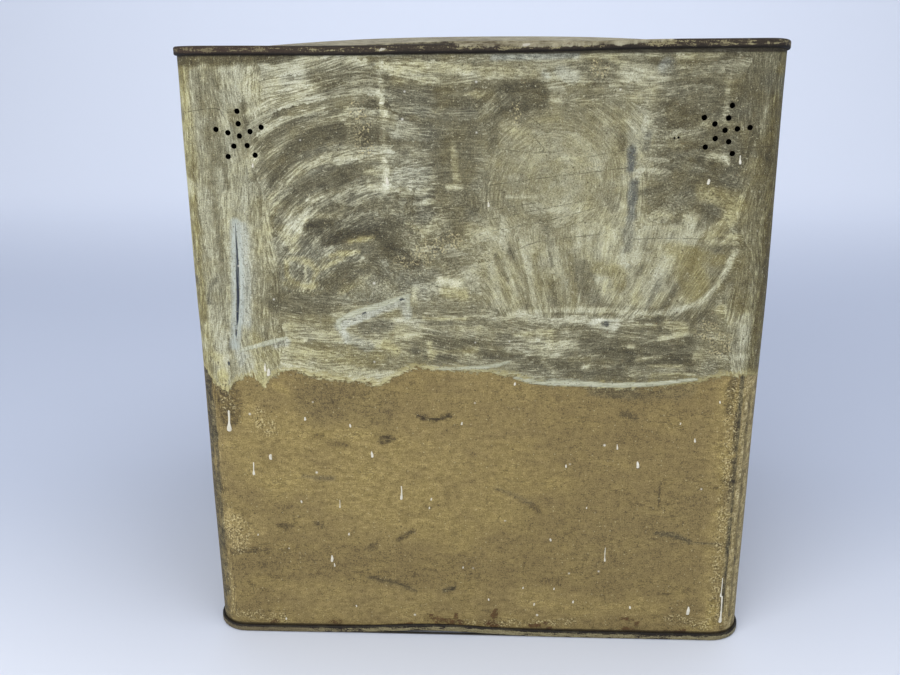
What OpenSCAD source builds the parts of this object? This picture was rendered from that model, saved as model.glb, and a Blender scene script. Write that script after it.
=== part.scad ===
// Large square-section coffee tin: two-piece lock-seamed body, double-seamed ends, crowned top with a
// round friction ring and a sunk plug lid. Origin at the centre of the base, +Z up, the vented face to -Y.

/* [Body] */
// Width across the side walls, outside the plate
body_w = 328; // [290:1:400]
// Depth from the front wall to the back wall, outside the plate
body_d = 328; // [290:1:400]
// Height over both rolled seams
body_h = 354; // [250:1:480]
// Outer radius of the four upright corners
corner_r = 19; // [12:1:40]
// Thickness of the tinplate
sheet_t = 0.5; // [0.4:0.05:0.6]

/* [Rolled seams] */
// Height of the rolled seam at each end
seam_h = 4.7; // [4.2:0.1:6]
// Radius on the rolled seam's edges
seam_edge_r = 0.9; // [0.3:0.1:1.2]
// Thickness of the sealing ring inside each rolled seam
seal_t = 0.4; // [0.2:0.05:0.6]
// Depth of each end's countersink groove below the seam's edge
countersink = 5.5; // [5.2:0.1:9]
// Width of the countersink groove
groove_w = 3.5; // [2:0.5:8]

/* [Top and mouth] */
// Height of the crown's sphere above the seam, at the centre
crown_h = 8.4; // [7.6:0.2:12]
// Radius of the crown's sphere
crown_r = 1800; // [1500:50:3000]
// Radius of the round seat pressed into the top
seat_r = 101; // [90:1:110]
// Depth of the seat's floor below the crown's sphere at its edge
seat_drop = 2.9; // [2.5:0.1:3.5]
// Inner radius of the mouth, inside the friction ring
mouth_r = 90; // [70:1:92]
// Depth of the friction ring's wall below the seat's floor
ring_depth = 16; // [14:1:24]

/* [Lid] */
// Outer radius of the lid's flange
lid_r = 97; // [94:1:98]
// Depth of the lid's plug below its flange
plug_depth = 9; // [7:0.5:11]
// Gap between the plug and the friction ring
lid_gap = 0.3; // [0.2:0.05:0.6]
// Radius of the lid's raised centre panel
lid_centre_r = 66; // [40:1:80]

/* [Side lock seams] */
// Overlap of the lock seam's folds to each side of the seam's middle
fold_w = 4; // [3:0.5:6]
// Width of the soldered groove beside the outer fold
solder_w = 0.6; // [0.4:0.1:1]

/* [Star vents] */
// Distance of each star's centre from the middle of the face
star_x = 129.5; // [90:0.1:133]
// Height of the stars above the base
star_z = 308.4; // [60:0.1:330]
// Diameter of the punched vent holes
vent_d = 3; // [2:0.1:4]
// Distance of the inner holes from a star's centre
vent_inner = 6.4; // [5:0.1:8]
// Distance of the outer holes from a star's centre
vent_outer = 13; // [10:0.1:16]
// Diameter of the two nail pricks
prick_d = 1.3; // [0.8:0.1:2]

/* [Base panel] */
// Distance of the base panel's pressed step from the walls
step_inset = 36; // [20:1:80]
// Drop of the base panel inside that step
step_drop = 1.6; // [0.8:0.1:3]

/* [Hidden] */
$fn = 96;
FOLD_GAP = 0.05;          // space left between folded layers
LAYER = sheet_t + FOLD_GAP;
SEAM_IN = sheet_t + LAYER;             // the end's inner wall, measured inward from the body's outer face
SEAM_OUT = 3 * LAYER;                  // how far the rolled seam stands proud of the body
HOOK_TOP = sheet_t + seal_t;           // depth of the body's flange below the seam's edge
PANEL_IN = SEAM_IN + groove_w;         // where the end panels begin, inward from the body's outer face
LOCK_END = countersink + 1;            // the lock seam stops this far short of the body's ends
LOCK_IN = 4 * LAYER - FOLD_GAP;        // depth of the lock seam's four layers
LOCK_TIP = fold_w - sheet_t;           // the folds' tips reach this far from the seam's middle
CROWN_FN = 360;                        // facets of the crown's large sphere, of which it is a small cap
SEAT_FLOOR = crown_h - seat_r * seat_r / (2 * crown_r) - seat_drop;
BEAD_R = 1.1;                          // the friction ring's rolled lip
CURL_R = 1.1;                          // the lid's curled edge
BEAD_TOP = SEAT_FLOOR + 2 * BEAD_R;
LID_TOP = BEAD_TOP + lid_gap + sheet_t;
PLUG_R = mouth_r - lid_gap;
PLUG_FOOT = LID_TOP - plug_depth;
LID_CENTRE_RISE = 2;
NECK_DEPTH = 5;                        // the top's own turned-down neck around the friction ring
RING_FOOT = SEAT_FLOOR - ring_depth;
RING_HEM = 2;                          // width of the turned-out hem at the ring's foot
PRICKS = [[104.6, 305.4], [106.7, 305.7]];
LEFT_RAYS = [91.5, 164.3, 237.4, 307.5, 20.5];
RIGHT_RAYS = [77.1, 149.7, 221.8, 291.6, 5.8];
STAR_TILT = 1;                         // the right star sits this much higher than the mean, the left lower
STAR_SHIFT = 1.2;                      // both stars sit this far to the right of even

// A rectangle with exact round corners, from (x0, y0) to (x1, y1)
module round_rect(x0, y0, x1, y1, r) {
    translate([x0 + r, y0]) square([x1 - x0 - 2 * r, y1 - y0]);
    translate([x0, y0 + r]) square([x1 - x0, y1 - y0 - 2 * r]);
    for (x = [x0 + r, x1 - r], y = [y0 + r, y1 - r]) translate([x, y]) circle(r, $fn = 32);
}

// A rectangle given by its corners
module rect(x0, y0, x1, y1) {
    translate([x0, y0]) square([x1 - x0, y1 - y0]);
}

// The body's outline in plan, moved inward
module plan(inset) {
    round_rect(
        inset - body_w / 2, inset - body_d / 2, body_w / 2 - inset, body_d / 2 - inset,
        max(corner_r - inset, 4)
    );
}

// Sweeps a profile round the body: x is the distance outward from the body's outer face, y is height
module around_body() {
    for (turn = [0 : 3]) {
        across = turn % 2 == 0 ? body_w : body_d;
        along = turn % 2 == 0 ? body_d : body_w;
        rotate(90 * turn) {
            rotate([90, 0, 0])
                linear_extrude(along - 2 * corner_r, center = true)
                    translate([across / 2, 0]) children();
            translate([across / 2 - corner_r, along / 2 - corner_r, 0])
                rotate_extrude(angle = 90) translate([corner_r, 0]) children();
        }
    }
}

// Puts a shape made for the base at the top, upside down
module at_top() {
    translate([0, 0, body_h]) mirror([0, 0, 1]) children();
}

// The body's wall with its turned-out hook at both ends
module wall_profile() {
    rect(-sheet_t, HOOK_TOP, 0, body_h - HOOK_TOP);
    for (end = [0, 1]) translate([0, end * body_h]) mirror([0, end]) {
        rect(-sheet_t, HOOK_TOP, SEAM_OUT - LAYER, HOOK_TOP + sheet_t);
        rect(SEAM_OUT - LAYER - sheet_t, HOOK_TOP, SEAM_OUT - LAYER, seam_h - LAYER);
    }
}

// One half of the body, to one side of the plane y = edge: side -1 keeps the front, 1 the rear
module half_body(side, edge) {
    reach = body_w;
    intersection() {
        around_body() wall_profile();
        translate([-reach, side > 0 ? edge : edge - reach, 0]) cube([2 * reach, reach, body_h]);
    }
}

// A vertical strip of the right-hand wall: n is measured inward from the outer face
module wall_strip(n0, n1, y0, y1, z0, z1) {
    translate([body_w / 2 - n1, y0, z0]) cube([n1 - n0, y1 - y0, z1 - z0]);
}

// A strip of lock seam in the right-hand wall, between the seam's ends
module lock_strip(n0, n1, y0, y1) {
    wall_strip(n0, n1, y0, y1, LOCK_END, body_h - LOCK_END);
}

// Makes a right-hand feature on both side walls
module both_sides() {
    for (side = [0, 1]) mirror([side, 0, 0]) children();
}

// The front sheet's fold: back under itself, third layer in
module front_fold() {
    lock_strip(0, 3 * LAYER - FOLD_GAP, fold_w - sheet_t, fold_w);
    lock_strip(2 * LAYER, 3 * LAYER - FOLD_GAP, -LOCK_TIP, fold_w);
}

// The rear sheet's fold: stepped in under the front sheet and hooked into its fold
module rear_fold() {
    outer = fold_w + solder_w + sheet_t;
    inner = -fold_w - FOLD_GAP;
    lock_strip(0, LOCK_IN, outer - sheet_t, outer);
    lock_strip(3 * LAYER, LOCK_IN, inner, outer);
    lock_strip(LAYER, LOCK_IN, inner, inner + sheet_t - FOLD_GAP);
    lock_strip(LAYER, 2 * LAYER - FOLD_GAP, inner, LOCK_TIP - FOLD_GAP);
}

// A hole straight through the front wall
module front_hole(x, z, d) {
    translate([x, -body_d / 2 + 2 * sheet_t, z]) rotate([90, 0, 0])
        cylinder(d = d, h = 4 * sheet_t, $fn = 32);
}

// A five-rayed star of punched holes: a centre hole and two along each ray
module star_vent(x, z, rays) {
    front_hole(x, z, vent_d);
    for (a = rays, r = [vent_inner, vent_outer]) front_hole(x + r * cos(a), z + r * sin(a), vent_d);
}

module front_sheet() {
    color("darkkhaki") union() {
        difference() {
            half_body(-1, fold_w);
            star_vent(STAR_SHIFT - star_x, star_z - STAR_TILT, LEFT_RAYS);
            star_vent(STAR_SHIFT + star_x, star_z + STAR_TILT, RIGHT_RAYS);
            for (p = PRICKS) front_hole(p[0], p[1], prick_d);
        }
        both_sides() front_fold();
    }
}

module rear_sheet() {
    color("khaki") union() {
        half_body(1, fold_w + solder_w);
        both_sides() rear_fold();
    }
}

// Solder run into the groove between the two sheets, along the outside of the lock seam
module seam_solder() {
    color("silver") {
        lock_strip(0, 3 * LAYER - FOLD_GAP, fold_w, fold_w + solder_w);
        for (z = [seam_h + FOLD_GAP, body_h - LOCK_END])
            wall_strip(0, sheet_t, fold_w, fold_w + solder_w, z, z + LOCK_END - seam_h - FOLD_GAP);
    }
}

module right_seam_solder() {
    seam_solder();
}

module left_seam_solder() {
    mirror([1, 0, 0]) seam_solder();
}

// The rolled seam of an end: a hollow roll of plate over the body's hook, with its own hook inside
module seam_profile() {
    difference() {
        round_rect(-SEAM_IN, 0, SEAM_OUT, seam_h, seam_edge_r);
        rect(sheet_t - SEAM_IN, sheet_t, SEAM_OUT - sheet_t, seam_h - sheet_t);
        rect(sheet_t - SEAM_IN, seam_h / 2, FOLD_GAP, seam_h + sheet_t);
    }
    rect(FOLD_GAP, HOOK_TOP + LAYER, LAYER, seam_h - sheet_t / 2);
    rect(-SEAM_IN, seam_h / 2, sheet_t - SEAM_IN, countersink);
    rect(-PANEL_IN - sheet_t, countersink - sheet_t, sheet_t - SEAM_IN, countersink);
}

// The sealing ring that fills the top of a rolled seam's roll
module seal_profile() {
    rect(-sheet_t, sheet_t, SEAM_OUT - LAYER, HOOK_TOP);
}

module bottom_end() {
    floor_z = countersink - sheet_t;
    color("saddlebrown") union() {
        around_body() seam_profile();
        translate([0, 0, floor_z]) linear_extrude(sheet_t) difference() {
            plan(PANEL_IN);
            plan(step_inset);
        }
        translate([0, 0, floor_z - step_drop]) linear_extrude(sheet_t + step_drop) difference() {
            plan(step_inset - sheet_t);
            plan(step_inset);
        }
        translate([0, 0, floor_z - step_drop]) linear_extrude(sheet_t) plan(step_inset - sheet_t / 2);
    }
}

module bottom_seam_seal() {
    color("dimgray") around_body() seal_profile();
}

module top_seam_seal() {
    color("dimgray") at_top() around_body() seal_profile();
}

// The crown as a solid, from below the countersink up to its sphere, with its skin taken in by an inset
module crown_solid(inset) {
    foot = body_h - countersink;
    intersection() {
        translate([0, 0, foot - (inset > 0 ? sheet_t : 0)])
            linear_extrude(4 * crown_h) plan(PANEL_IN + inset);
        translate([0, 0, body_h + crown_h - crown_r]) sphere(crown_r - inset, $fn = CROWN_FN);
    }
}

// The seat, its wall and the turned-down neck, as a profile about the mouth's axis
module seat_profile() {
    rect(seat_r - sheet_t, SEAT_FLOOR - sheet_t, seat_r, crown_h);
    rect(mouth_r + LAYER, SEAT_FLOOR - sheet_t, seat_r, SEAT_FLOOR);
    rect(mouth_r + LAYER, SEAT_FLOOR - NECK_DEPTH, mouth_r + LAYER + sheet_t, SEAT_FLOOR);
}

module top_end() {
    color("beige") union() {
        at_top() around_body() seam_profile();
        difference() {
            crown_solid(0);
            crown_solid(sheet_t);
            translate([0, 0, body_h - 2 * countersink])
                cylinder(r = seat_r - sheet_t / 2, h = 4 * countersink);
        }
        intersection() {
            translate([0, 0, body_h]) rotate_extrude() seat_profile();
            translate([0, 0, body_h + crown_h - crown_r]) sphere(crown_r, $fn = CROWN_FN);
        }
    }
}

// The friction ring: a flange on the seat, a rolled lip for the lid and a deep wall with a turned-out hem
module ring_profile() {
    difference() {
        union() {
            translate([mouth_r + BEAD_R, SEAT_FLOOR + BEAD_R]) circle(BEAD_R, $fn = 32);
            rect(mouth_r, RING_FOOT, mouth_r + sheet_t, SEAT_FLOOR + BEAD_R);
            rect(mouth_r + BEAD_R, SEAT_FLOOR, seat_r - 2 * sheet_t, SEAT_FLOOR + sheet_t);
            rect(mouth_r, RING_FOOT, mouth_r + RING_HEM, RING_FOOT + sheet_t);
        }
        translate([mouth_r + BEAD_R, SEAT_FLOOR + BEAD_R]) circle(BEAD_R - sheet_t, $fn = 32);
    }
}

module friction_ring() {
    color("gray") translate([0, 0, body_h]) rotate_extrude() ring_profile();
}

// Solder run round the friction ring's flange, in the corner of the seat
module ring_solder() {
    color("silver") translate([0, 0, body_h]) rotate_extrude()
        rect(seat_r - 2 * sheet_t, SEAT_FLOOR, seat_r - sheet_t, SEAT_FLOOR + sheet_t);
}

// The lid: a curled flange, a plug wall and a pan with a raised centre
module lid_profile() {
    difference() {
        union() {
            translate([lid_r - CURL_R, LID_TOP - CURL_R]) circle(CURL_R, $fn = 32);
            rect(PLUG_R - sheet_t, LID_TOP - sheet_t, lid_r - CURL_R, LID_TOP);
        }
        translate([lid_r - CURL_R, LID_TOP - CURL_R]) circle(CURL_R - sheet_t, $fn = 32);
    }
    rect(PLUG_R - sheet_t, PLUG_FOOT, PLUG_R, LID_TOP);
    rect(lid_centre_r, PLUG_FOOT, PLUG_R, PLUG_FOOT + sheet_t);
    rect(lid_centre_r, PLUG_FOOT, lid_centre_r + sheet_t, PLUG_FOOT + LID_CENTRE_RISE);
    rect(0, PLUG_FOOT + LID_CENTRE_RISE - sheet_t, lid_centre_r + sheet_t, PLUG_FOOT + LID_CENTRE_RISE);
}

module lid() {
    color("tan") translate([0, 0, body_h]) rotate_extrude() lid_profile();
}

front_sheet();
rear_sheet();
left_seam_solder();
right_seam_solder();
bottom_end();
bottom_seam_seal();
top_end();
top_seam_seal();
friction_ring();
ring_solder();
lid();
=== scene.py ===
"""The looks of a large old coffee tin: worn brushed paint, rolled seams, star vents, a plug lid.

Everything is modelled in millimetres in the CAD frame and scaled to metres as it is made.
"""

import math

import bmesh
import bpy
import numpy as np
from mathutils import Matrix, Vector


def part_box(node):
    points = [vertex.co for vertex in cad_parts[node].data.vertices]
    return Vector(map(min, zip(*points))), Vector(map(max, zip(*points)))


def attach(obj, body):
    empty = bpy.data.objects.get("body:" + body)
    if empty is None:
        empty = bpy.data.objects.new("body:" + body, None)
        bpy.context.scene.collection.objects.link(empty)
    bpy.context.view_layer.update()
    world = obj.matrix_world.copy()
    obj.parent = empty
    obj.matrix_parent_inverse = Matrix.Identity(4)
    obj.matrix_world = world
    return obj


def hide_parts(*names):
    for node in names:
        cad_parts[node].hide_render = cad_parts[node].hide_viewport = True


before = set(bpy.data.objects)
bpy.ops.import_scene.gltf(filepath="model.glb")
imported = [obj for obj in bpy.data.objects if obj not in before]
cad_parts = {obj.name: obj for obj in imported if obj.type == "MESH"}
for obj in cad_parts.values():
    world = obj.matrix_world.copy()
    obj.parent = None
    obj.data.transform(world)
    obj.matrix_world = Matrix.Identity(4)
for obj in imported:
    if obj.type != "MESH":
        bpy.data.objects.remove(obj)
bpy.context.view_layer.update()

MM = 0.001
SHEET = 0.5  # thickness of the tinplate
LAYER = 0.55  # one folded layer and its gap
SEAM_OUT = 1.65  # how far a rolled seam stands proud of the wall
SEAM_H = 4.7  # height of a rolled seam
COUNTERSINK = 5.5  # depth of an end's groove
GROOVE_IN = 4.55  # where the end panels begin, inward from the wall
CORNER_R = 19.0
FOLD_W = 4.0  # how far a side seam's hooks reach from its middle
SOLDER_W = 0.6  # the gap between the sheets that solder fills
LOCK_END = 6.5  # where the folds begin and end, in from the foot and the top


def box_mm(node):
    """Lowest and highest corner of a CAD node, in millimetres."""
    low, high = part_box(node)
    return np.array(low) / MM, np.array(high) / MM


HALF = box_mm("bottom_end")[1][0] - SEAM_OUT  # half the body's width, outside the plate
BODY_H = box_mm("top_seam_seal")[1][2] + SHEET  # height over both rolled seams
STRAIGHT = HALF - CORNER_R  # half the flat part of a wall
CORNER_ARC = CORNER_R * math.pi / 2
LID_TOP = box_mm("lid")[1][2]
LID_R = box_mm("lid")[1][0]
PLUG_FOOT = box_mm("lid")[0][2]
RING_FOOT = box_mm("friction_ring")[0][2]
SEAT_R = box_mm("ring_solder")[1][0] + SHEET
SEAT_FLOOR = box_mm("ring_solder")[0][2]
MOUTH_R = 90.0  # radius of the friction ring's bore
CROWN_R = 1800.0  # radius of the sphere that the top panel follows
CROWN_TOP = BODY_H + 8.4


# ---------------------------------------------------------------- noise and smooth steps on arrays


def smooth(x, low, high):
    """0 below low, 1 above high, and a smooth step between."""
    t = np.clip((x - low) / (high - low), 0.0, 1.0)
    return t * t * (3.0 - 2.0 * t)


def lattice(ix, iy, seed):
    """A repeatable random number from 0 to 1 at each whole-number point of a plane."""
    n = (ix.astype(np.int64) * 374761393 + iy.astype(np.int64) * 668265263 + seed * 2147483647) & 0xFFFFFFFF
    n = ((n ^ (n >> 13)) * 1274126177) & 0xFFFFFFFF
    n = ((n ^ (n >> 16)) * 2246822519) & 0xFFFFFFFF
    return (n ^ (n >> 15)) / 0xFFFFFFFF


def noise(x, y, size, seed, octaves=3):
    """Soft noise from 0 to 1 whose largest lumps are about size across."""
    total, weight, level = 0.0, 0.0, 1.0
    for octave in range(octaves):
        u, v = x / size * 2**octave + 17.3 * octave, y / size * 2**octave + 5.1 * octave
        iu, iv = np.floor(u), np.floor(v)
        fu, fv = smooth(u - iu, 0, 1), smooth(v - iv, 0, 1)
        corner = [[lattice(iu + a, iv + b, seed + octave) for b in (0, 1)] for a in (0, 1)]
        low = corner[0][0] * (1 - fu) + corner[1][0] * fu
        high = corner[0][1] * (1 - fu) + corner[1][1] * fu
        total = total + level * (low * (1 - fv) + high * fv)
        weight += level
        level *= 0.5
    return total / weight


# ---------------------------------------------------------------- the shape of the plate


def plan_point(s, out):
    """Plan position at the unrolled distance s from the middle of the front face, out from the wall."""
    side = np.sign(s) + (s == 0)
    past = np.abs(s) - STRAIGHT
    angle = np.clip(past, 0, CORNER_ARC) / CORNER_R
    along = np.minimum(np.abs(s), STRAIGHT)
    back = np.maximum(past - CORNER_ARC, 0)
    x = along + (CORNER_R + out) * np.sin(angle)
    y = -STRAIGHT - (CORNER_R + out) * np.cos(angle) + back
    return side * x, y


def unrolled(points):
    """Distance along the outline from the middle of the nearer of the front and rear faces."""
    x, y = points[:, 0], -np.abs(points[:, 1])
    dx, dy = np.maximum(np.abs(x) - STRAIGHT, 0), np.maximum(-y - STRAIGHT, 0)
    arc = np.arctan2(dx, np.maximum(dy, 1e-9)) * CORNER_R
    s = np.where(-y > STRAIGHT, np.minimum(np.abs(x), STRAIGHT) + arc, STRAIGHT + CORNER_ARC + STRAIGHT + y)
    return np.sign(x) * s


def dented(points):
    """Moves points of the tin as its knocks have: foot pushed up, top seam uneven, walls waved."""
    p = points.copy()
    x, y, z = points.T
    near_front = np.exp(-(((y + HALF) / 14.0) ** 2)) * (y < -100)
    foot = np.exp(-(((x + 26.0) / 42.0) ** 2)) * near_front
    p[:, 2] += 2.7 * foot * (1 - smooth(z, 5, 34))
    p[:, 1] += 0.7 * foot * np.exp(-(((z - 13.0) / 8.0) ** 2))
    top = smooth(z, BODY_H - 26, BODY_H - 6) * near_front
    p[:, 2] += top * (1.5 * smooth(x, 5, 110) - 0.7 * np.exp(-(((x + 75.0) / 38.0) ** 2)))
    s = unrolled(points)
    wall = smooth(z, 12, 60) * (1 - smooth(z, BODY_H - 50, BODY_H - 12)) * (1 - smooth(np.abs(s), 285, 310))
    wave = (noise(s + 900 * (y > 0), z, 95, 31, 2) - 0.5) * 1.1 + (noise(s, z, 24, 32, 2) - 0.5) * 0.22
    belly = 0.7 * (x > 0) * np.exp(-(((z - 235.0) / 75.0) ** 2))
    belly += 0.3 * (x < 0) * np.exp(-(((z - 260.0) / 90.0) ** 2))
    facing_x = np.clip((np.abs(x) - STRAIGHT) / CORNER_R, 0, 1) * np.sign(x)
    facing_y = np.clip((np.abs(y) - STRAIGHT) / CORNER_R, 0, 1) * np.sign(y)
    at_wall = np.maximum(np.abs(facing_x), np.abs(facing_y)) > 0.7
    p[:, 0] += wall * (wave + belly) * facing_x * at_wall
    p[:, 1] += wall * wave * facing_y * at_wall
    return p


def fillet(corners, steps=5):
    """A path through (x, z, radius) corners, each rounded to its radius."""
    path = []
    for k, (x, z, radius) in enumerate(corners):
        here = np.array([x, z], float)
        if radius == 0 or k in (0, len(corners) - 1):
            path.append(here)
            continue
        before = np.array(corners[k - 1][:2], float) - here
        after = np.array(corners[k + 1][:2], float) - here
        before /= np.linalg.norm(before)
        after /= np.linalg.norm(after)
        half = math.acos(np.clip(before @ after, -1, 1)) / 2
        reach = radius / math.tan(half)
        centre = here + (before + after) / np.linalg.norm(before + after) * radius / math.sin(half)
        a, b = here + before * reach - centre, here + after * reach - centre
        for t in np.linspace(0, 1, steps + 1):
            spoke = a * (1 - t) + b * t
            path.append(centre + spoke / np.linalg.norm(spoke) * radius)
    return np.array(path)


def thickened(path, thickness=SHEET):
    """A closed loop round a path, half the thickness to each side of it."""
    step = np.diff(path, axis=0)
    step /= np.linalg.norm(step, axis=1)[:, None]
    normal = np.stack([-step[:, 1], step[:, 0]], 1)
    joint = np.vstack([normal[:1], normal[:-1] + normal[1:], normal[-1:]])
    joint /= np.linalg.norm(joint, axis=1)[:, None]
    miter = np.ones(len(path))
    miter[1:-1] = 1 / np.maximum(np.sum(joint[1:-1] * normal[:-1], 1), 0.5)
    shift = joint * (miter * thickness / 2)[:, None]
    return path + shift, path - shift


def mesh_piece(name, verts, faces, body, materials, replaces=(), angle=35):
    """Makes a shaded mesh object from millimetres, riding on a body."""
    mesh = bpy.data.meshes.new(name)
    mesh.from_pydata([tuple(v) for v in np.asarray(verts) * MM], [], [tuple(f) for f in faces])
    bm = bmesh.new()
    bm.from_mesh(mesh)
    bmesh.ops.recalc_face_normals(bm, faces=bm.faces)
    bm.to_mesh(mesh)
    bm.free()
    mesh.polygons.foreach_set("use_smooth", np.ones(len(mesh.polygons), bool))
    mesh.set_sharp_from_angle(angle=math.radians(angle))
    for material in materials:
        mesh.materials.append(material)
    piece = bpy.data.objects.new(name, mesh)
    bpy.context.scene.collection.objects.link(piece)
    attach(piece, body)
    if replaces:
        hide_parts(*replaces)
    return piece


def points_mm(mesh):
    """A mesh's points as an array in millimetres."""
    co = np.zeros(len(mesh.vertices) * 3, np.float32)
    mesh.vertices.foreach_get("co", co)
    return co.reshape(-1, 3).astype(float) / MM


def put_points(mesh, points):
    mesh.vertices.foreach_set("co", (points * MM).astype(np.float32).ravel())
    mesh.update()


def put_vectors(mesh, name, columns):
    """Stores three numbers at every point of a mesh, for its material to read."""
    layer = mesh.attributes.new(name, "FLOAT_VECTOR", "POINT")
    layer.data.foreach_set("vector", np.stack(columns, 1).astype(np.float32).ravel())


def grid_faces(rows, columns, wrap_rows, wrap_columns):
    """Quads between the points of a grid, closed on itself where asked."""
    r, c = np.meshgrid(
        np.arange(rows if wrap_rows else rows - 1),
        np.arange(columns if wrap_columns else columns - 1),
        indexing="ij",
    )
    r, c = r.ravel(), c.ravel()
    r1, c1 = (r + 1) % rows, (c + 1) % columns
    return np.stack([r * columns + c, r * columns + c1, r1 * columns + c1, r1 * columns + c], 1).tolist()


# ---------------------------------------------------------------- the two body sheets


def spaced(start, stop, step):
    """Evenly spaced places from start to stop, about a step apart, without the last."""
    return np.linspace(start, stop, max(2, round(abs(stop - start) / step) + 1))[:-1]


def wall_loop(row_step):
    """The sheet's closed profile: fine rows outside, coarse rows inside and a turned-out hook at each end."""
    hook, foot = SEAM_OUT - LAYER, SHEET + 0.4
    lip = SEAM_H - LAYER
    top = BODY_H - foot
    outer = [(0.0, z) for z in spaced(foot + SHEET, top - SHEET, row_step)]
    top_hook = [
        (0.0, top - SHEET), (hook - SHEET, top - SHEET), (hook - SHEET, BODY_H - lip), (hook, BODY_H - lip),
        (hook, top),
    ]
    inner = [(-SHEET, z) for z in spaced(top, foot, 15.0)]
    foot_hook = [(-SHEET, foot), (hook, foot), (hook, lip), (hook - SHEET, lip), (hook - SHEET, foot + SHEET)]
    return outer + top_hook + inner + foot_hook


def sheet_mesh(end, fine, column_step, row_step):
    """Points and faces of half the body, its ends at the unrolled distance end to each side."""
    side = spaced(end, fine, 3.6)
    columns = np.concatenate([-side, spaced(-fine, fine, column_step), [fine], side[::-1]])
    loop = wall_loop(row_step)
    verts = []
    for out, z in loop:
        x, y = plan_point(columns, out)
        verts.append(np.stack([x, y, np.full_like(x, z)], 1))
    rows, count = len(loop), len(columns)
    faces = grid_faces(rows, count, True, False)
    faces.append([r * count for r in range(rows)])
    faces.append([r * count + count - 1 for r in reversed(range(rows))])
    return np.concatenate(verts), faces


def star_holes():
    """Centres of the vent holes and the nail pricks on the front face, with their diameters."""
    star_x, shift, star_z, tilt = 129.5, 1.2, 308.4, 1.0
    left_rays, right_rays = (91.5, 164.3, 237.4, 307.5, 20.5), (77.1, 149.7, 221.8, 291.6, 5.8)
    stars = [(shift - star_x, star_z - tilt, left_rays), (shift + star_x, star_z + tilt, right_rays)]
    holes = [(104.6, 305.4, 1.3), (106.7, 305.7, 1.3)]
    for x, z, rays in stars:
        holes.append((x, z, 3.0))
        for ray in rays:
            for reach in (6.4, 13.0):
                angle = math.radians(ray)
                holes.append((x + reach * math.cos(angle), z + reach * math.sin(angle), 3.0))
    return holes


def punch(piece, holes):
    """Cuts round holes through the front wall."""
    bm = bmesh.new()
    for x, z, diameter in holes:
        place = Matrix.Translation((x * MM, -HALF * MM, z * MM)) @ Matrix.Rotation(math.pi / 2, 4, "X")
        bmesh.ops.create_cone(
            bm, cap_ends=True, segments=24, radius1=diameter / 2 * MM, radius2=diameter / 2 * MM,
            depth=6 * SHEET * MM, matrix=place,
        )
    cutter_mesh = bpy.data.meshes.new("punches")
    bm.to_mesh(cutter_mesh)
    bm.free()
    cutter = bpy.data.objects.new("punches", cutter_mesh)
    bpy.context.scene.collection.objects.link(cutter)
    cut = piece.modifiers.new("punch", "BOOLEAN")
    cut.operation = "DIFFERENCE"
    cut.solver = "EXACT"
    cut.object = cutter
    bpy.context.view_layer.update()
    done = bpy.data.meshes.new_from_object(piece.evaluated_get(bpy.context.evaluated_depsgraph_get()))
    piece.modifiers.clear()
    old = piece.data
    piece.data = done
    done.name = old.name + "_punched"
    bpy.data.meshes.remove(old)
    bpy.data.objects.remove(cutter)
    bpy.data.meshes.remove(cutter_mesh)


def dimple(points, holes):
    """Presses the plate in a little round each punched hole."""
    depth = np.zeros(len(points))
    front = points[:, 1] < -STRAIGHT
    for x, z, diameter in holes:
        near = np.hypot(points[:, 0] - x, points[:, 2] - z)
        depth += 0.3 * np.exp(-((np.maximum(near - diameter / 2, 0) / 1.5) ** 2)) * front * (near < 12)
    points[:, 1] += depth
    return points


def prism(outline, z0, z1, mirror):
    """A closed upright strip from its outline in plan; outline points are (y, depth inward)."""
    pts = [(mirror * (HALF - depth), y) for y, depth in outline]
    n = len(pts)
    verts = [(x, y, z) for z in (z0, z1) for x, y in pts]
    faces = [[k, (k + 1) % n, n + (k + 1) % n, n + k] for k in range(n)]
    faces += [list(range(n)), list(range(2 * n - 1, n - 1, -1))]
    return verts, faces


def lock_fold(outline):
    """Both side walls' folds of one sheet, from a centreline of (y, depth, radius) corners."""
    one, other = thickened(fillet(outline, 4))
    loop = np.concatenate([one, other[::-1]])
    verts, faces = [], []
    for mirror in (1, -1):
        v, f = prism(loop, LOCK_END, BODY_H - LOCK_END, mirror)
        faces += [[k + len(verts) for k in face] for face in f]
        verts += v
    return verts, faces


def front_fold():
    """The front sheet's edges, folded back under themselves as the third layer in."""
    layer = 2 * LAYER + SHEET / 2
    return lock_fold(
        [(FOLD_W - 0.25, SHEET + 0.02, 0), (FOLD_W - 0.25, layer, 0.3), (-FOLD_W + SHEET, layer, 0)]
    )


def rear_fold():
    """The rear sheet's edges, stepped in under the front sheet and hooked into its fold."""
    start = FOLD_W + SOLDER_W + 0.27
    deep, shallow = 3 * LAYER + SHEET / 2, LAYER + SHEET / 2
    return lock_fold([
        (start, SHEET + 0.02, 0), (start, deep, 0.3), (-FOLD_W - 0.3 + 0.27, deep, 0.3),
        (-FOLD_W - 0.3 + 0.27, shallow, 0.3), (FOLD_W - 0.6, shallow, 0),
    ])


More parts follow.
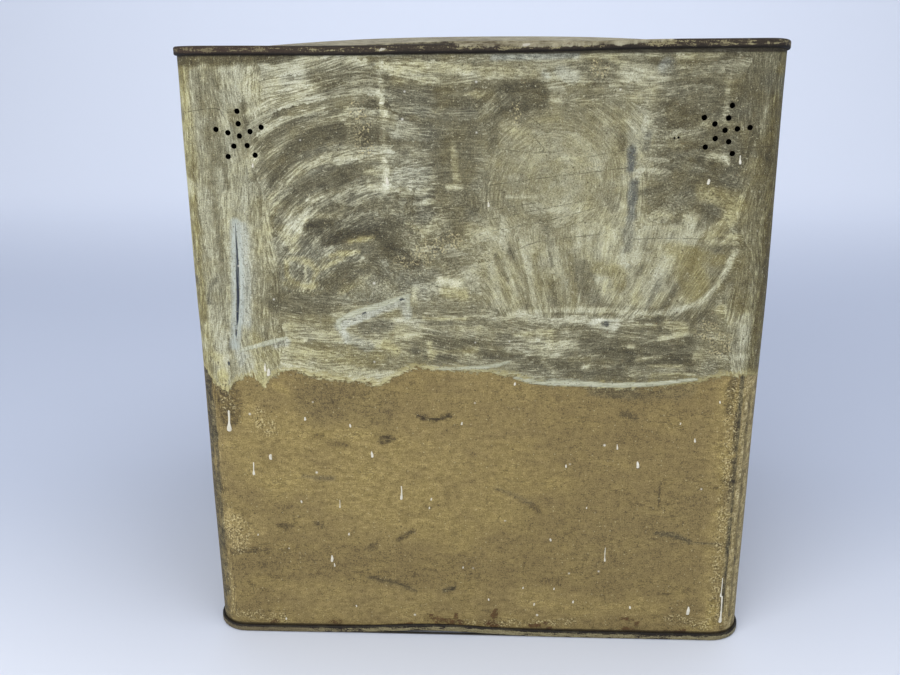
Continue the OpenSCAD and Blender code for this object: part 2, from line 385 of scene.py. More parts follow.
def make_sheet(name, end, fine, column_step, row_step, fold, holes, rear, materials):
    """One body sheet with its folds, dents, paint attributes and separate inside finish."""
    verts, faces = sheet_mesh(end, fine, column_step, row_step)
    piece = mesh_piece(
        name, verts, faces, "tin", materials, (name.replace("_plate", "_sheet"),),
    )
    if holes:
        punch(piece, holes)
    mesh = piece.data
    points = dimple(points_mm(mesh), holes)
    if rear:
        points[:, :2] *= -1
    put_points(mesh, dented(points))
    bm = bmesh.new()
    bm.from_mesh(mesh)
    fold_verts, fold_faces = fold
    added = [bm.verts.new((x * MM, y * MM, z * MM)) for x, y, z in fold_verts]
    made = [bm.faces.new([added[k] for k in face]) for face in fold_faces]
    bmesh.ops.recalc_face_normals(bm, faces=made)
    for face in bm.faces:
        centre = face.calc_center_median() / MM
        out = max(abs(centre.x), abs(centre.y)) - HALF
        corner = math.hypot(max(abs(centre.x) - STRAIGHT, 0), max(abs(centre.y) - STRAIGHT, 0)) - CORNER_R
        if abs(centre.x) > STRAIGHT and abs(centre.y) > STRAIGHT:
            out = corner
        inward = face.normal.x * centre.x + face.normal.y * centre.y < 0
        inside = (inward and out < 0.3) or out < -1.2
        cut_end = len(face.verts) > 40
        face.material_index = 1 if inside or cut_end else 0
        face.smooth = True
    bm.to_mesh(mesh)
    bm.free()
    mesh.set_sharp_from_angle(angle=math.radians(38))
    paint_attributes(mesh, rear)
    return piece


# ---------------------------------------------------------------- where the brush went


class Canvas:
    """The paint's tone, tints and contrast at every point of a sheet, painted over in strokes."""

    def __init__(self, s, z, seed):
        self.s, self.z, self.seed = s, z, seed
        self.channel = {key: np.zeros(len(s)) for key in ("tone", "yellow", "blue", "contrast")}

    def fill(self, mask, strength=1.0, **values):
        """Blends the named channels towards values where the mask is."""
        for key, value in values.items():
            old = self.channel[key]
            self.channel[key] = old + (value - old) * mask * strength

    def distance(self, path):
        """Distance to a path, and how far along the path the nearest point is, from 0 to 1."""
        best = np.full(len(self.s), 1e9)
        where = np.zeros(len(self.s))
        points = np.array(path, float)
        lengths = np.linalg.norm(np.diff(points, axis=0), axis=1)
        total = lengths.sum()
        for k, (a, b) in enumerate(zip(points[:-1], points[1:])):
            step = b - a
            t = ((self.s - a[0]) * step[0] + (self.z - a[1]) * step[1]) / (step @ step)
            t = np.clip(t, 0, 1)
            d = np.hypot(self.s - a[0] - t * step[0], self.z - a[1] - t * step[1])
            nearer = d < best
            best = np.where(nearer, d, best)
            where = np.where(nearer, (lengths[:k].sum() + t * lengths[k]) / total, where)
        return best, where

    def stroke(self, path, width, strength=0.9, ragged=0.5, **values):
        """A brush mark along a path, with ragged edges."""
        d, t = self.distance(path)
        self.seed += 1
        rough = noise(self.s, self.z, max(width * 0.9, 4.0), self.seed, 4) - 0.5
        reach = width / 2 * (1 + 2.4 * ragged * rough)
        mask = 1 - smooth(d, reach * 0.6, reach * 1.2 + 0.5)
        self.fill(mask, strength, **values)


def region(x, low, high, soft):
    """1 between low and high, fading over a soft edge to each side."""
    return smooth(x, low - soft, low + soft) * (1 - smooth(x, high - soft, high + soft))


def curve(points, samples=24):
    """A smooth path through a few given points."""
    p = np.array(points, float)
    if len(p) < 3:
        return p
    padded = np.vstack([2 * p[0] - p[1], p, 2 * p[-1] - p[-2]])
    out = []
    for k in range(1, len(padded) - 2):
        a, b, c, d = padded[k - 1 : k + 3]
        for t in np.linspace(0, 1, max(3, samples // len(p)), endpoint=False):
            bend, twist = 2 * a - 5 * b + 4 * c - d, 3 * b - a - 3 * c + d
            out.append(0.5 * (2 * b + (c - a) * t + bend * t**2 + twist * t**3))
    return np.vstack([out, p[-1:]])


ARC_CENTRE = (-50.0, 222.0)  # the swept arcs of the upper left turn about this point
RUB_CENTRE = (47.0, 288.0)  # the round rubbed patch
FAN_CENTRE = (60.0, 132.0)  # the fanned strokes below it point away from here

# Where the upper coat of paint stops: (distance across, height)
COAT_EDGE = [
    (-180, 176), (-160, 172), (-153, 164), (-146, 160), (-140, 168), (-130, 171), (-124, 163), (-118, 171),
    (-106, 174), (-92, 170), (-78, 168), (-64, 167), (-56, 165), (-46, 171), (-38, 176), (-15, 175), (5, 174),
    (22, 171), (34, 167), (60, 166), (85, 165), (112, 167), (130, 170), (142, 173), (156, 172), (180, 168),
]

# Brush marks of the upper coat: (tone, yellow, blue, strength, width, path)
UPPER_STROKES = [
    # left-hand strip and corner
    (0.40, 0.1, 0.0, 0.7, 11, [(-143, 347), (-141, 296)]),
    (0.66, 0.2, 0.0, 0.8, 6, [(-156, 344), (-134, 347)]),
    (0.66, 0.0, 0.2, 0.7, 5, [(-152, 340), (-151, 318)]),
    (0.38, 0.2, 0.0, 0.5, 5, [(-131, 320), (-128, 300)]),
    (0.62, 0.1, 0.2, 0.7, 8, [(-131, 300), (-134, 262)]),
    (0.68, 0.0, 0.35, 0.8, 6, [(-133, 345), (-130, 325)]),
    (0.60, 0.2, 0.0, 0.6, 12, [(-120, 340), (-116, 326)]),
    (0.66, 0.0, 0.1, 0.6, 9, [(-153, 280), (-151, 236), (-150, 196)]),
    (0.44, 0.1, 0.1, 0.6, 3, [(-146, 290), (-143, 240), (-145, 200)]),
    (0.58, 0.35, 0.0, 0.5, 6, [(-140, 260), (-139, 215)]),
    (0.70, 0.0, 0.85, 0.95, 7, [(-130.5, 258), (-131, 222), (-134, 196), (-138, 180)]),
    (0.60, 0.15, 0.0, 0.7, 14, [(-119, 240), (-119, 204)]),
    (0.56, 0.4, 0.0, 0.6, 12, [(-121, 268), (-118, 240)]),
    (0.30, 0.0, 0.3, 0.7, 2.5, [(-147, 228), (-151, 224), (-153, 214)]),
    (0.16, 0.35, 0.0, 0.95, 7, [(-165, 347), (-130, 347.4), (-98, 348)]),
    (0.76, 0.2, 0.0, 0.8, 3.5, [(-84, 346), (-70, 345.6), (-58, 346)]),
    (0.30, 0.4, 0.0, 0.8, 3, [(-56, 347), (-36, 346)]),
    # swept arcs
    (0.68, 0.1, 0.1, 0.8, 14, [(-122, 331), (-100, 340), (-80, 344)]),
    (0.74, 0.1, 0.1, 0.8, 11, [(-108, 326), (-95, 331), (-84, 332)]),
    (0.60, 0.0, 0.4, 0.7, 5, [(-102, 336), (-90, 339)]),
    (0.84, 0.0, 0.1, 0.8, 4, [(-123, 319), (-114, 323)]),
    (0.34, 0.0, 0.0, 0.85, 16, [(-82, 338), (-58, 338), (-40, 334)]),
    (0.29, 0.0, 0.0, 0.7, 12, [(-78, 326), (-56, 322)]),
    (0.72, 0.45, 0.0, 0.75, 7, [(-50, 343), (-28, 342), (-5, 341)]),
    (0.66, 0.35, 0.0, 0.6, 4, [(-44, 336), (-5, 334)]),
    (0.30, 0.0, 0.15, 0.8, 12, [(-46, 327), (-24, 325), (-5, 321)]),
    (0.66, 0.0, 0.0, 0.8, 7, [(-124, 293), (-110, 311), (-88, 322), (-62, 327)]),
    (0.28, 0.0, 0.0, 0.8, 8, [(-117, 302), (-100, 312), (-80, 317)]),
    (0.58, 0.1, 0.0, 0.7, 5, [(-113, 296), (-96, 310), (-70, 318), (-45, 315)]),
    (0.25, 0.0, 0.0, 0.85, 11, [(-111, 286), (-96, 302), (-72, 310), (-52, 307)]),
    (0.64, 0.05, 0.0, 0.7, 6, [(-107, 280), (-92, 292), (-70, 297), (-48, 296)]),
    (0.30, 0.0, 0.05, 0.75, 8, [(-104, 270), (-92, 282), (-66, 288)]),
    (0.62, 0.1, 0.0, 0.7, 4, [(-98, 268), (-84, 276), (-60, 279), (-28, 277)]),
    (0.82, 0.0, 0.15, 0.8, 2.5, [(-93, 272), (-80, 276)]),
    (0.36, 0.0, 0.1, 0.7, 8, [(-86, 268), (-60, 272), (-34, 268)]),
    (0.72, 0.0, 0.25, 0.85, 8, [(-103, 261), (-95, 257)]),
    (0.70, 0.1, 0.0, 0.7, 3, [(-104, 265), (-80, 264), (-62, 262)]),
    (0.20, 0.0, 0.1, 0.9, 14, [(-90, 258), (-70, 257), (-46, 258)]),
    (0.09, 0.0, 0.1, 0.8, 7, [(-85, 250), (-60, 255), (-40, 247)]),
    (0.84, 0.8, 0.0, 0.9, 2.4, [(-70, 250), (-58, 252)]),
    (0.82, 0.8, 0.0, 0.85, 3, [(-82, 242), (-66, 244)]),
    (0.78, 0.7, 0.0, 0.8, 2.6, [(-86, 235), (-75, 240)]),
    (0.64, 0.8, 0.0, 0.8, 3, [(-107, 238), (-106, 229), (-97, 224), (-89, 225)]),
    (0.60, 0.7, 0.0, 0.8, 3, [(-104, 240), (-96, 239), (-90, 234), (-92, 228)]),
    (0.58, 0.7, 0.0, 0.7, 3, [(-108, 226), (-98, 221), (-88, 220)]),
    (0.70, 0.8, 0.0, 0.8, 4, [(-77, 221), (-66, 228)]),
    (0.32, 0.0, 0.0, 0.85, 14, [(-112, 214), (-84, 215)]),
    (0.30, 0.0, 0.0, 0.7, 12, [(-84, 224), (-60, 236)]),
    (0.66, 0.3, 0.0, 0.7, 8, [(-107, 256), (-102, 246)]),
    (0.40, 0.15, 0.0, 0.6, 26, [(-40, 250), (-16, 236)]),
    (0.12, 0.0, 0.1, 0.7, 9, [(-48, 245), (-34, 238)]),
    # chalky marks down the middle of the left half
    (0.60, 0.0, 0.0, 0.6, 9, [(-66, 327), (-67, 300)]),
    (0.82, 0.1, 0.0, 0.9, 3.5, [(-52, 329), (-49, 318)]),
    (0.64, 0.0, 0.0, 0.7, 2.5, [(-50, 345), (-50, 300)]),
    (0.86, 0.0, 0.1, 0.9, 3, [(-50, 294), (-49, 280)]),
    (0.63, 0.0, 0.3, 0.8, 12, [(-44, 296), (-28, 295)]),
    (0.58, 0.0, 0.4, 0.8, 12, [(-44, 285), (-25, 285)]),
    # dark upright between the halves
    (0.30, 0.2, 0.0, 0.7, 18, [(-14, 328), (-14, 262)]),
    (0.60, 0.5, 0.0, 0.7, 4, [(-13, 302), (-11, 284)]),
    (0.75, 0.2, 0.0, 0.7, 3, [(-15, 280), (-9, 280)]),
    (0.62, 0.2, 0.0, 0.6, 9, [(-33, 246), (-20, 262)]),
    (0.86, 0.1, 0.0, 0.9, 4, [(-20, 228), (-10, 226)]),
    (0.68, 0.7, 0.0, 0.8, 7, [(-18, 221), (-8, 220)]),
    # under the top seam, right half
    (0.62, 0.2, 0.0, 0.7, 7, [(2, 340), (32, 338)]),
    (0.48, 0.0, 0.9, 0.85, 3, [(8, 347), (52, 348)]),
    (0.60, 0.0, 0.6, 0.8, 4, [(35, 339), (37, 337)]),
    (0.60, 0.0, 0.6, 0.7, 8, [(44, 339), (50, 336)]),
    (0.72, 0.0, 0.2, 0.8, 5, [(36, 332), (44, 331)]),
    (0.62, 0.3, 0.0, 0.8, 3, [(55, 345), (62, 348), (72, 346)]),
    (0.31, 0.1, 0.0, 0.85, 9, [(58, 341), (71, 341)]),
    (0.34, 0.0, 0.0, 0.7, 6, [(60, 334), (73, 335)]),
    (0.66, 0.0, 0.1, 0.7, 9, [(78, 338), (96, 336)]),
    (0.54, 0.0, 0.9, 0.9, 7, [(98, 343), (99, 342)]),
    (0.74, 0.1, 0.0, 0.8, 3.5, [(104, 347), (126, 348)]),
    (0.38, 0.0, 0.05, 0.75, 15, [(104, 338), (130, 341), (154, 346)]),
    (0.33, 0.0, 0.1, 0.7, 10, [(102, 327), (127, 330)]),
    (0.17, 0.1, 0.0, 0.9, 18, [(15, 325), (31, 328)]),
    (0.70, 0.2, 0.0, 0.8, 5, [(40, 326), (43, 325)]),
    (0.30, 0.0, 0.1, 0.8, 6, [(11, 316), (8, 300)]),
    (0.66, 0.2, 0.0, 0.8, 6, [(15, 313), (20, 311)]),
    # rubbed patch and what crosses it
    (0.50, 0.4, 0.0, 0.7, 10, [(74, 316), (77, 302), (73, 288)]),
    (0.64, 0.0, 0.3, 0.85, 10, [(85, 316), (85, 302)]),
    (0.66, 0.0, 0.1, 0.6, 9, [(84, 250), (83, 206)]),
    (0.26, 0.3, 0.0, 0.8, 4, [(77, 306), (77, 300)]),
    (0.28, 0.0, 1.0, 0.9, 3.5, [(82.5, 300), (82.5, 289)]),
    (0.34, 0.0, 0.9, 0.9, 5, [(84, 282), (84, 264)]),
    (0.50, 0.0, 0.5, 0.7, 6, [(83, 262), (83, 238)]),
    (0.34, 0.0, 0.5, 0.7, 3, [(91, 308), (90, 300)]),
    (0.64, 0.0, 0.2, 0.5, 5, [(68, 280), (86, 286)]),
    (0.42, 0.1, 0.0, 0.7, 7, [(70, 278), (73, 270)]),
    (0.40, 0.1, 0.0, 0.6, 9, [(38, 262), (41, 252)]),
    (0.80, 0.0, 0.15, 0.8, 5, [(15, 262), (15, 247)]),
    (0.76, 0.0, 0.1, 0.7, 7, [(27, 250), (31, 236)]),
    # right-hand side
    (0.22, 0.15, 0.0, 0.9, 11, [(103, 321), (104, 314)]),
    (0.66, 0.1, 0.0, 0.5, 5, [(100, 305), (119, 311)]),
    (0.78, 0.0, 0.0, 0.5, 3, [(131, 337), (130, 315)]),
    (0.76, 0.0, 0.0, 0.6, 4, [(122, 295), (127, 296)]),
    (0.78, 0.0, 0.0, 0.8, 4, [(131, 295), (133, 293)]),
    (0.23, 0.2, 0.0, 0.85, 17, [(145, 302), (149, 292)]),
    (0.34, 0.6, 0.0, 0.75, 17, [(150, 286), (149, 250), (147, 214)]),
    (0.50, 0.8, 0.0, 0.8, 13, [(122, 276), (138, 270)]),
    (0.60, 0.6, 0.0, 0.7, 8, [(126, 254), (138, 263)]),
    (0.70, 0.1, 0.1, 0.8, 11, [(92, 258), (102, 250), (100, 236)]),
    (0.68, 0.05, 0.1, 0.8, 9, [(115, 264), (117, 250)]),
    (0.48, 0.9, 0.0, 0.8, 8, [(106, 246), (134, 240)]),
    (0.46, 0.9, 0.0, 0.85, 17, [(116, 238), (122, 224)]),
    # fanned strokes
    (0.33, 0.0, 0.0, 0.85, 13, [(57, 233), (63, 223), (68, 214)]),
    (0.44, 0.8, 0.0, 0.8, 8, [(68, 235), (78, 232), (79, 225)]),
    (0.74, 0.05, 0.05, 0.8, 8, [(80, 240), (92, 242)]),
    (0.45, 0.4, 0.0, 0.7, 6, [(2, 238), (8, 216)]),
    (0.45, 0.5, 0.0, 0.6, 4, [(18, 216), (12, 240)]),
    (0.42, 0.5, 0.0, 0.7, 3, [(32, 242), (35, 216)]),
    (0.48, 0.5, 0.0, 0.7, 3, [(52, 242), (55, 216)]),
    # the band of level strokes above the lower coat
    (0.74, 0.1, 0.1, 0.85, 2.5, [(18, 208), (40, 211), (80, 211), (100, 209)]),
    (0.76, 0.1, 0.2, 0.85, 3.5, [(100, 209), (117, 213), (129, 221), (136, 232), (141, 244)]),
    (0.67, 0.0, 0.1, 0.8, 5, [(24, 208), (62, 205)]),
    (0.60, 0.0, 0.1, 0.7, 4, [(48, 198), (76, 197)]),
    (0.68, 0.1, 0.1, 0.8, 5, [(40, 190), (58, 191)]),
    (0.66, 0.0, 0.1, 0.7, 3, [(18, 187), (46, 184)]),
    (0.23, 0.0, 0.0, 0.9, 12, [(64, 192), (90, 187), (118, 186)]),
    (0.26, 0.0, 0.05, 0.8, 7, [(28, 179), (56, 177), (80, 176)]),
    (0.82, 0.2, 0.0, 0.9, 1.8, [(90, 182), (104, 184)]),
    (0.64, 0.6, 0.0, 0.8, 1.8, [(98, 178), (116, 179)]),
    (0.62, 0.6, 0.0, 0.8, 2, [(100, 173), (124, 174)]),
    (0.86, 0.0, 0.4, 0.9, 6, [(66, 204), (78, 203)]),
    (0.06, 0.0, 1.0, 1.0, 1.7, [(71, 203.5), (74, 203.3)]),
    (0.64, 0.4, 0.0, 0.8, 8, [(108, 203), (116, 200)]),
    (0.74, 0.2, 0.0, 0.8, 2.5, [(104, 195), (118, 198)]),
    (0.84, 0.0, 0.0, 0.8, 3, [(61, 178), (63, 178)]),
    (0.76, 0.0, 0.0, 0.8, 2.5, [(87, 190), (89, 190)]),
    (0.60, 0.2, 0.0, 0.7, 3, [(38, 181), (46, 172)]),
    (0.54, 0.2, 0.0, 0.8, 17, [(126, 184), (134, 194), (142, 206)]),
    (0.62, 0.1, 0.1, 0.7, 9, [(149, 206), (151, 192)]),
    (0.60, 0.5, 0.0, 0.7, 6, [(136, 212), (140, 206)]),
    (0.80, 0.2, 0.0, 0.8, 2, [(-46, 195), (-30, 196)]),
    (0.70, 0.6, 0.0, 0.8, 1.8, [(-30, 206), (-6, 206)]),
    (0.62, 0.3, 0.0, 0.7, 3, [(-32, 201), (2, 200)]),
    (0.62, 0.6, 0.0, 0.7, 2.5, [(-26, 186), (0, 187)]),
    (0.30, 0.0, 0.0, 0.7, 6, [(-28, 192), (24, 193)]),
    (0.68, 0.8, 0.0, 0.85, 7, [(-52, 190), (-46, 186)]),
    (0.62, 0.6, 0.0, 0.8, 3, [(-27, 191), (-26, 183)]),
    (0.52, 0.7, 0.0, 0.7, 13, [(-102, 186), (-80, 184), (-58, 181)]),
    (0.50, 0.4, 0.0, 0.6, 10, [(-108, 198), (-84, 200)]),
    (0.62, 0.1, 0.1, 0.7, 8, [(-67, 220), (-52, 225)]),
    (0.34, 0.0, 0.2, 0.8, 8, [(-64, 200), (-50, 202)]),
    (0.76, 0.0, 0.8, 0.95, 4.5, [(-78, 201.5), (-66, 206), (-52, 211.5), (-40, 216)]),
    (0.74, 0.0, 0.7, 0.9, 4, [(-77, 200), (-74, 193)]),
    (0.72, 0.0, 0.7, 0.9, 5, [(-41, 215), (-39, 208)]),
    (0.62, 0.1, 0.5, 0.7, 6, [(-72, 193), (-62, 189)]),
    (0.70, 0.0, 0.7, 0.9, 5, [(-136, 183), (-122, 188), (-110, 191.5)]),
    (0.62, 0.3, 0.2, 0.75, 8, [(-70, 172), (-56, 173)]),
    # foot of the left-hand strip
    (0.68, 0.7, 0.0, 0.8, 8, [(-151, 182), (-146, 176), (-149, 170)]),
    (0.64, 0.9, 0.0, 0.85, 6, [(-149, 172), (-147, 162)]),
    (0.74, 0.1, 0.15, 0.85, 8, [(-143, 180), (-141, 173)]),
    (0.68, 0.8, 0.0, 0.85, 6, [(-126, 177), (-124, 164)]),
    (0.56, 0.6, 0.0, 0.7, 12, [(-136, 196), (-118, 182)]),
]

# Stains and smudges of the lower coat, the same way
LOWER_STROKES = [
    # the right-hand corner, with its upright pale and dark runs, and the darker left-hand corner
    (0.72, 0.40, 0.15, 0.9, 17, [(163, 8), (163, 175)]),
    (0.14, 0.1, 0.6, 0.8, 2.2, [(151.6, 20), (152, 90), (151.4, 172)]),
    (0.78, 0.3, 0.2, 0.8, 2.4, [(155, 10), (155.4, 170)]),
    (0.26, 0.2, 0.3, 0.7, 1.8, [(158.2, 14), (158.6, 160)]),
    (0.74, 0.5, 0.1, 0.8, 2.6, [(162, 10), (161.6, 172)]),
    (0.36, 0.2, 0.3, 0.6, 2.0, [(166, 10), (166, 172)]),
    (0.22, 0.4, 0.4, 0.85, 14, [(-165, 8), (-165, 168)]),
    (0.10, 0.1, 0.5, 0.8, 7, [(-160, 168), (-159, 130)]),
    (0.16, 0.1, 0.5, 0.7, 1.8, [(-157, 24), (-157.4, 80), (-156.6, 150)]),
    (0.66, 0.2, 0.0, 0.6, 2.2, [(-154.6, 12), (-154, 60)]),
    (0.62, 0.6, 0.0, 0.6, 70, [(-110, 118), (-50, 108)]),
    (0.57, 0.5, 0.0, 0.5, 50, [(-20, 80), (30, 110)]),
    (0.40, 0.0, 0.0, 0.6, 22, [(-150, 52), (-70, 48), (-10, 50)]),
    (0.42, 0.0, 0.05, 0.5, 40, [(80, 60), (130, 90)]),
    (0.58, 0.2, 0.0, 0.5, 20, [(-120, 24), (40, 22)]),
    (0.60, 0.3, 0.0, 0.5, 16, [(30, 30), (110, 20)]),
    (0.10, 0.0, 0.1, 0.85, 2.2, [(-34, 147), (-28, 145), (-22, 145), (-16, 147)]),
    (0.14, 0.0, 0.1, 0.8, 4.5, [(-56, 132), (-49, 132)]),
    (0.28, 0.1, 0.0, 0.7, 4, [(-87, 129), (-78, 128)]),
    (0.33, 0.0, 0.3, 0.7, 2.5, [(-104, 107), (-92, 106), (-86, 106)]),
    (0.30, 0.0, 0.3, 0.6, 2.2, [(12, 101), (22, 97), (34, 91)]),
    (0.26, 0.0, 0.0, 0.7, 4, [(35, 89), (37, 87)]),
    (0.22, 0.0, 0.4, 0.8, 2.4, [(108, 73), (118, 72), (128, 68)]),
    (0.30, 0.0, 0.3, 0.6, 2.0, [(128, 67), (146, 66)]),
    (0.22, 0.0, 0.2, 0.7, 3, [(-66, 39), (-50, 36), (-38, 31)]),
    (0.18, 0.0, 0.3, 0.8, 2.4, [(-20, 31), (-14, 33)]),
    (0.16, 0.0, 0.1, 0.7, 2.5, [(-47, 66), (-38, 72)]),
    (0.22, 0.0, 0.1, 0.7, 4, [(-66, 59), (-62, 61)]),
    (0.24, 0.0, 0.1, 0.7, 3, [(-98, 76), (-94, 74)]),
    (0.28, 0.0, 0.1, 0.6, 3, [(-117, 74), (-112, 74)]),
    (0.25, 0.0, 0.0, 0.7, 5, [(-153, 81), (-144, 81)]),
    (0.72, 0.2, 0.0, 0.8, 15, [(-149, 76), (-146, 64)]),
    (0.66, 0.2, 0.0, 0.6, 11, [(-136, 78), (-134, 70)]),
    (0.26, 0.0, 0.0, 0.7, 3, [(-152, 55), (-140, 57), (-128, 56)]),
    (0.24, 0.0, 0.0, 0.7, 16, [(-149, 160), (-146, 146)]),
    (0.62, 0.4, 0.0, 0.6, 12, [(-134, 150), (-128, 138)]),
    (0.30, 0.0, 0.4, 0.7, 6, [(68, 163), (92, 162)]),
    (0.36, 0.0, 0.3, 0.5, 8, [(90, 160), (122, 163)]),
    (0.20, 0.0, 0.2, 0.6, 4, [(84, 150), (92, 147)]),
    (0.24, 0.0, 0.0, 0.6, 1.4, [(108.5, 106), (108.5, 91)]),
    (0.66, 0.6, 0.0, 0.7, 4, [(-118, 166), (-110, 160)]),
    (0.36, 0.1, 0.1, 0.5, 34, [(-90, 160), (-60, 152)]),
    (0.22, 0.1, 0.1, 0.7, 5, [(146, 170), (145, 152)]),
    (0.20, 0.1, 0.2, 0.7, 3, [(150, 150), (151, 118), (150, 92)]),
    (0.66, 0.9, 0.0, 0.7, 3, [(142, 124), (151, 124)]),
    (0.66, 0.9, 0.0, 0.7, 3, [(141, 86), (151, 85)]),
    (0.66, 1.0, 0.0, 0.7, 6, [(145, 24), (145, 10)]),
    (0.58, 0.8, 0.0, 0.5, 3, [(144, 118), (144, 90)]),
    (0.62, 0.0, 0.2, 0.7, 3, [(150, 98), (150, 88)]),
]

# Rust and black stains that creep up from the foot seam: (width, path)
RUST = [
    (6, [(-30, 12), (-27, 12)]), (7, [(-22, 8), (-10, 8)]), (4, [(-13, 14), (-12, 9)]),
    (5, [(10, 9), (13, 17)]), (4, [(8, 8), (13, 6)]), (4, [(34, 7), (46, 6)]), (3, [(43, 10), (44, 6)]),
    (4, [(93, 6), (104, 5)]), (3, [(100, 10), (99, 7)]), (4, [(118, 5), (128, 5)]),
    (2, [(90, 14), (97, 13)]), (3, [(-48, 6), (-40, 6)]),
]

# Thin dark scratches and cracks
THIN_LINES = [
    [(8, 281), (30, 284), (56, 287), (80, 290)], [(88, 251.5), (106, 252), (123, 251.5)],
    [(6, 262), (36, 268), (62, 273)], [(10, 256), (40, 262), (70, 270)], [(12, 268), (30, 271)],
    [(14, 300), (30, 298), (44, 299)], [(30, 307), (36, 300), (39, 296)],
    [(-158, 320), (-140, 322), (-136, 318)], [(-50, 262), (-20, 268), (10, 272)], [(60, 296), (78, 299)],
    [(20, 244), (34, 250), (66, 254)], [(108.5, 106), (108.5, 91)],
    [(-36, 148), (-28, 145.4), (-22, 145.2), (-15, 147.6)], [(-160, 108), (-152, 107)],
    [(112, 74), (128, 68), (146, 66.5)], [(-66, 39), (-50, 36), (-38, 31)], [(-140, 34), (-138, 20)],
    [(-152, 57), (-140, 55.4), (-128, 57.5)], [(26, 318), (33, 313)], [(132, 222), (128, 212)],
    [(141, 300), (158, 301)],
]

# Crazed and blistered paint: (width, path)
CRAZED = [
    (9, [(147, 168), (147, 12)]), (17, [(-149, 76), (-146, 62)]), (8, [(-152, 12), (-120, 9)]),
    (5, [(-155, 40), (-155, 12)]), (12, [(-128, 146), (-122, 138)]), (10, [(-150, 164), (-146, 150)]),
    (7, [(-10, 8), (60, 10)]), (9, [(120, 14), (146, 10)]), (13, [(64, 341), (64, 340)]),
    (9, [(20, 322), (22, 318)]), (12, [(-60, 300), (-64, 320)]), (14, [(-40, 238), (-14, 250)]),
    (14, [(128, 200), (138, 190)]),
]

SCRATCH = [(-134.0, 260), (-134.4, 240), (-135.2, 222), (-136.6, 206), (-139.4, 189)]
RIDGES = [
    (2.8, [(22, 171), (34, 168), (58, 167.4), (84, 166.8), (108, 168.6), (126, 171)]),
    (1.6, [(30, 170), (50, 169.6), (70, 169.8)]),
    (2.0, [(-26, 176), (-4, 176.5), (10, 178), (20, 181)]),
    (3.2, [(-79.5, 204), (-69, 209), (-53, 214), (-38, 219.5)]),
    (2.4, [(-79, 204), (-77.5, 198)]),
    (2.0, [(-39, 219), (-38.5, 211)]),
    (2.6, [(-137, 186), (-123, 190), (-109, 194)]),
]
RIDGE_CORES = [
    [(-65.5, 208), (-62, 209.6)], [(-43, 216.8), (-40.5, 217.6)], [(-144, 179.5), (-143.6, 177.5)],
    [(-122.4, 189), (-122, 189)],
]


def thin_lines(s, z, paths):
    """Signed distance to the nearest thin line, which keeps it sharp between points, and 1 close to it."""
    best, signed, near = np.full(len(s), 1e9), np.full(len(s), 5.0), np.zeros(len(s))
    for path in paths:
        points = curve(path, 12)
        for a, b in zip(points[:-1], points[1:]):
            step = b - a
            size = np.linalg.norm(step)
            along = ((s - a[0]) * step[0] + (z - a[1]) * step[1]) / size
            across = ((z - a[1]) * step[0] - (s - a[0]) * step[1]) / size
            reach = np.hypot(across, np.maximum(np.maximum(-along, along - size), 0))
            nearer = reach < best
            best = np.where(nearer, reach, best)
            signed = np.where(nearer, across, signed)
            near = np.where(nearer, 1 - smooth(reach, 1.6, 2.6), near)
    return np.clip(signed, -5, 5), near


def flow_weights(s, z):
    """How much each family of strokes shows at each point: swept, level, upright, rubbed, fanned, dabbed."""
    wander_s, wander_z = s + 26 * (noise(s, z, 30, 71) - 0.5), z + 26 * (noise(s, z, 30, 72) - 0.5)
    upper = smooth(wander_z, 206, 214)
    upright = np.maximum(1 - smooth(wander_s, -128, -114), smooth(wander_s, 138, 150))
    upright = np.maximum(upright, smooth(np.abs(s), 150, 160))
    rub = np.exp(-(((wander_s - RUB_CENTRE[0]) / 46) ** 4) - ((wander_z - RUB_CENTRE[1]) / 32) ** 4)
    fan = region(wander_s, 4, 128, 8) * region(wander_z, 210, 258, 4)
    swept = region(wander_s, -130, -44, 10) * smooth(wander_z, 214, 226)
    level = 0.25 + 2.0 * (1 - upper) + 1.2 * smooth(wander_z, 318, 330) * smooth(wander_s, -60, -40)
    level = level + 1.2 * region(wander_s, -44, 0, 10) * smooth(wander_z, 214, 226)
    dabbed = 0.25 + region(wander_s, 84, 140, 10) * region(wander_z, 262, 325, 8)
    dabbed = dabbed + 1.2 * region(wander_s, -46, 6, 8) * region(wander_z, 218, 275, 8)
    dabbed = dabbed + 1.6 * region(wander_s, 120, 156, 5) * region(wander_z, 174, 208, 5)
    upright = upright * (1 + 2 * (1 - smooth(np.abs(s), 160, 175)))
    off_front = smooth(np.abs(s), 165, 185)
    weights = [
        swept * 2 * (1 - off_front), level, upright * (1 - off_front) * 3 + off_front * 0.6,
        rub * 2.5 * (1 - off_front), fan * 3 * (1 - off_front), dabbed,
    ]
    total = sum(weights)
    return [w / total for w in weights]


def rear_weights(s, z):
    """The same for the rear, which was brushed level with upright and dabbed patches."""
    upright = 1.1 * smooth(noise(s, z, 120, 97, 2), 0.50, 0.60)
    dabbed = 0.9 * smooth(noise(s, z, 90, 98, 2), 0.52, 0.64)
    none = s * 0
    return [none, none + 0.6, upright, none, none, dabbed]


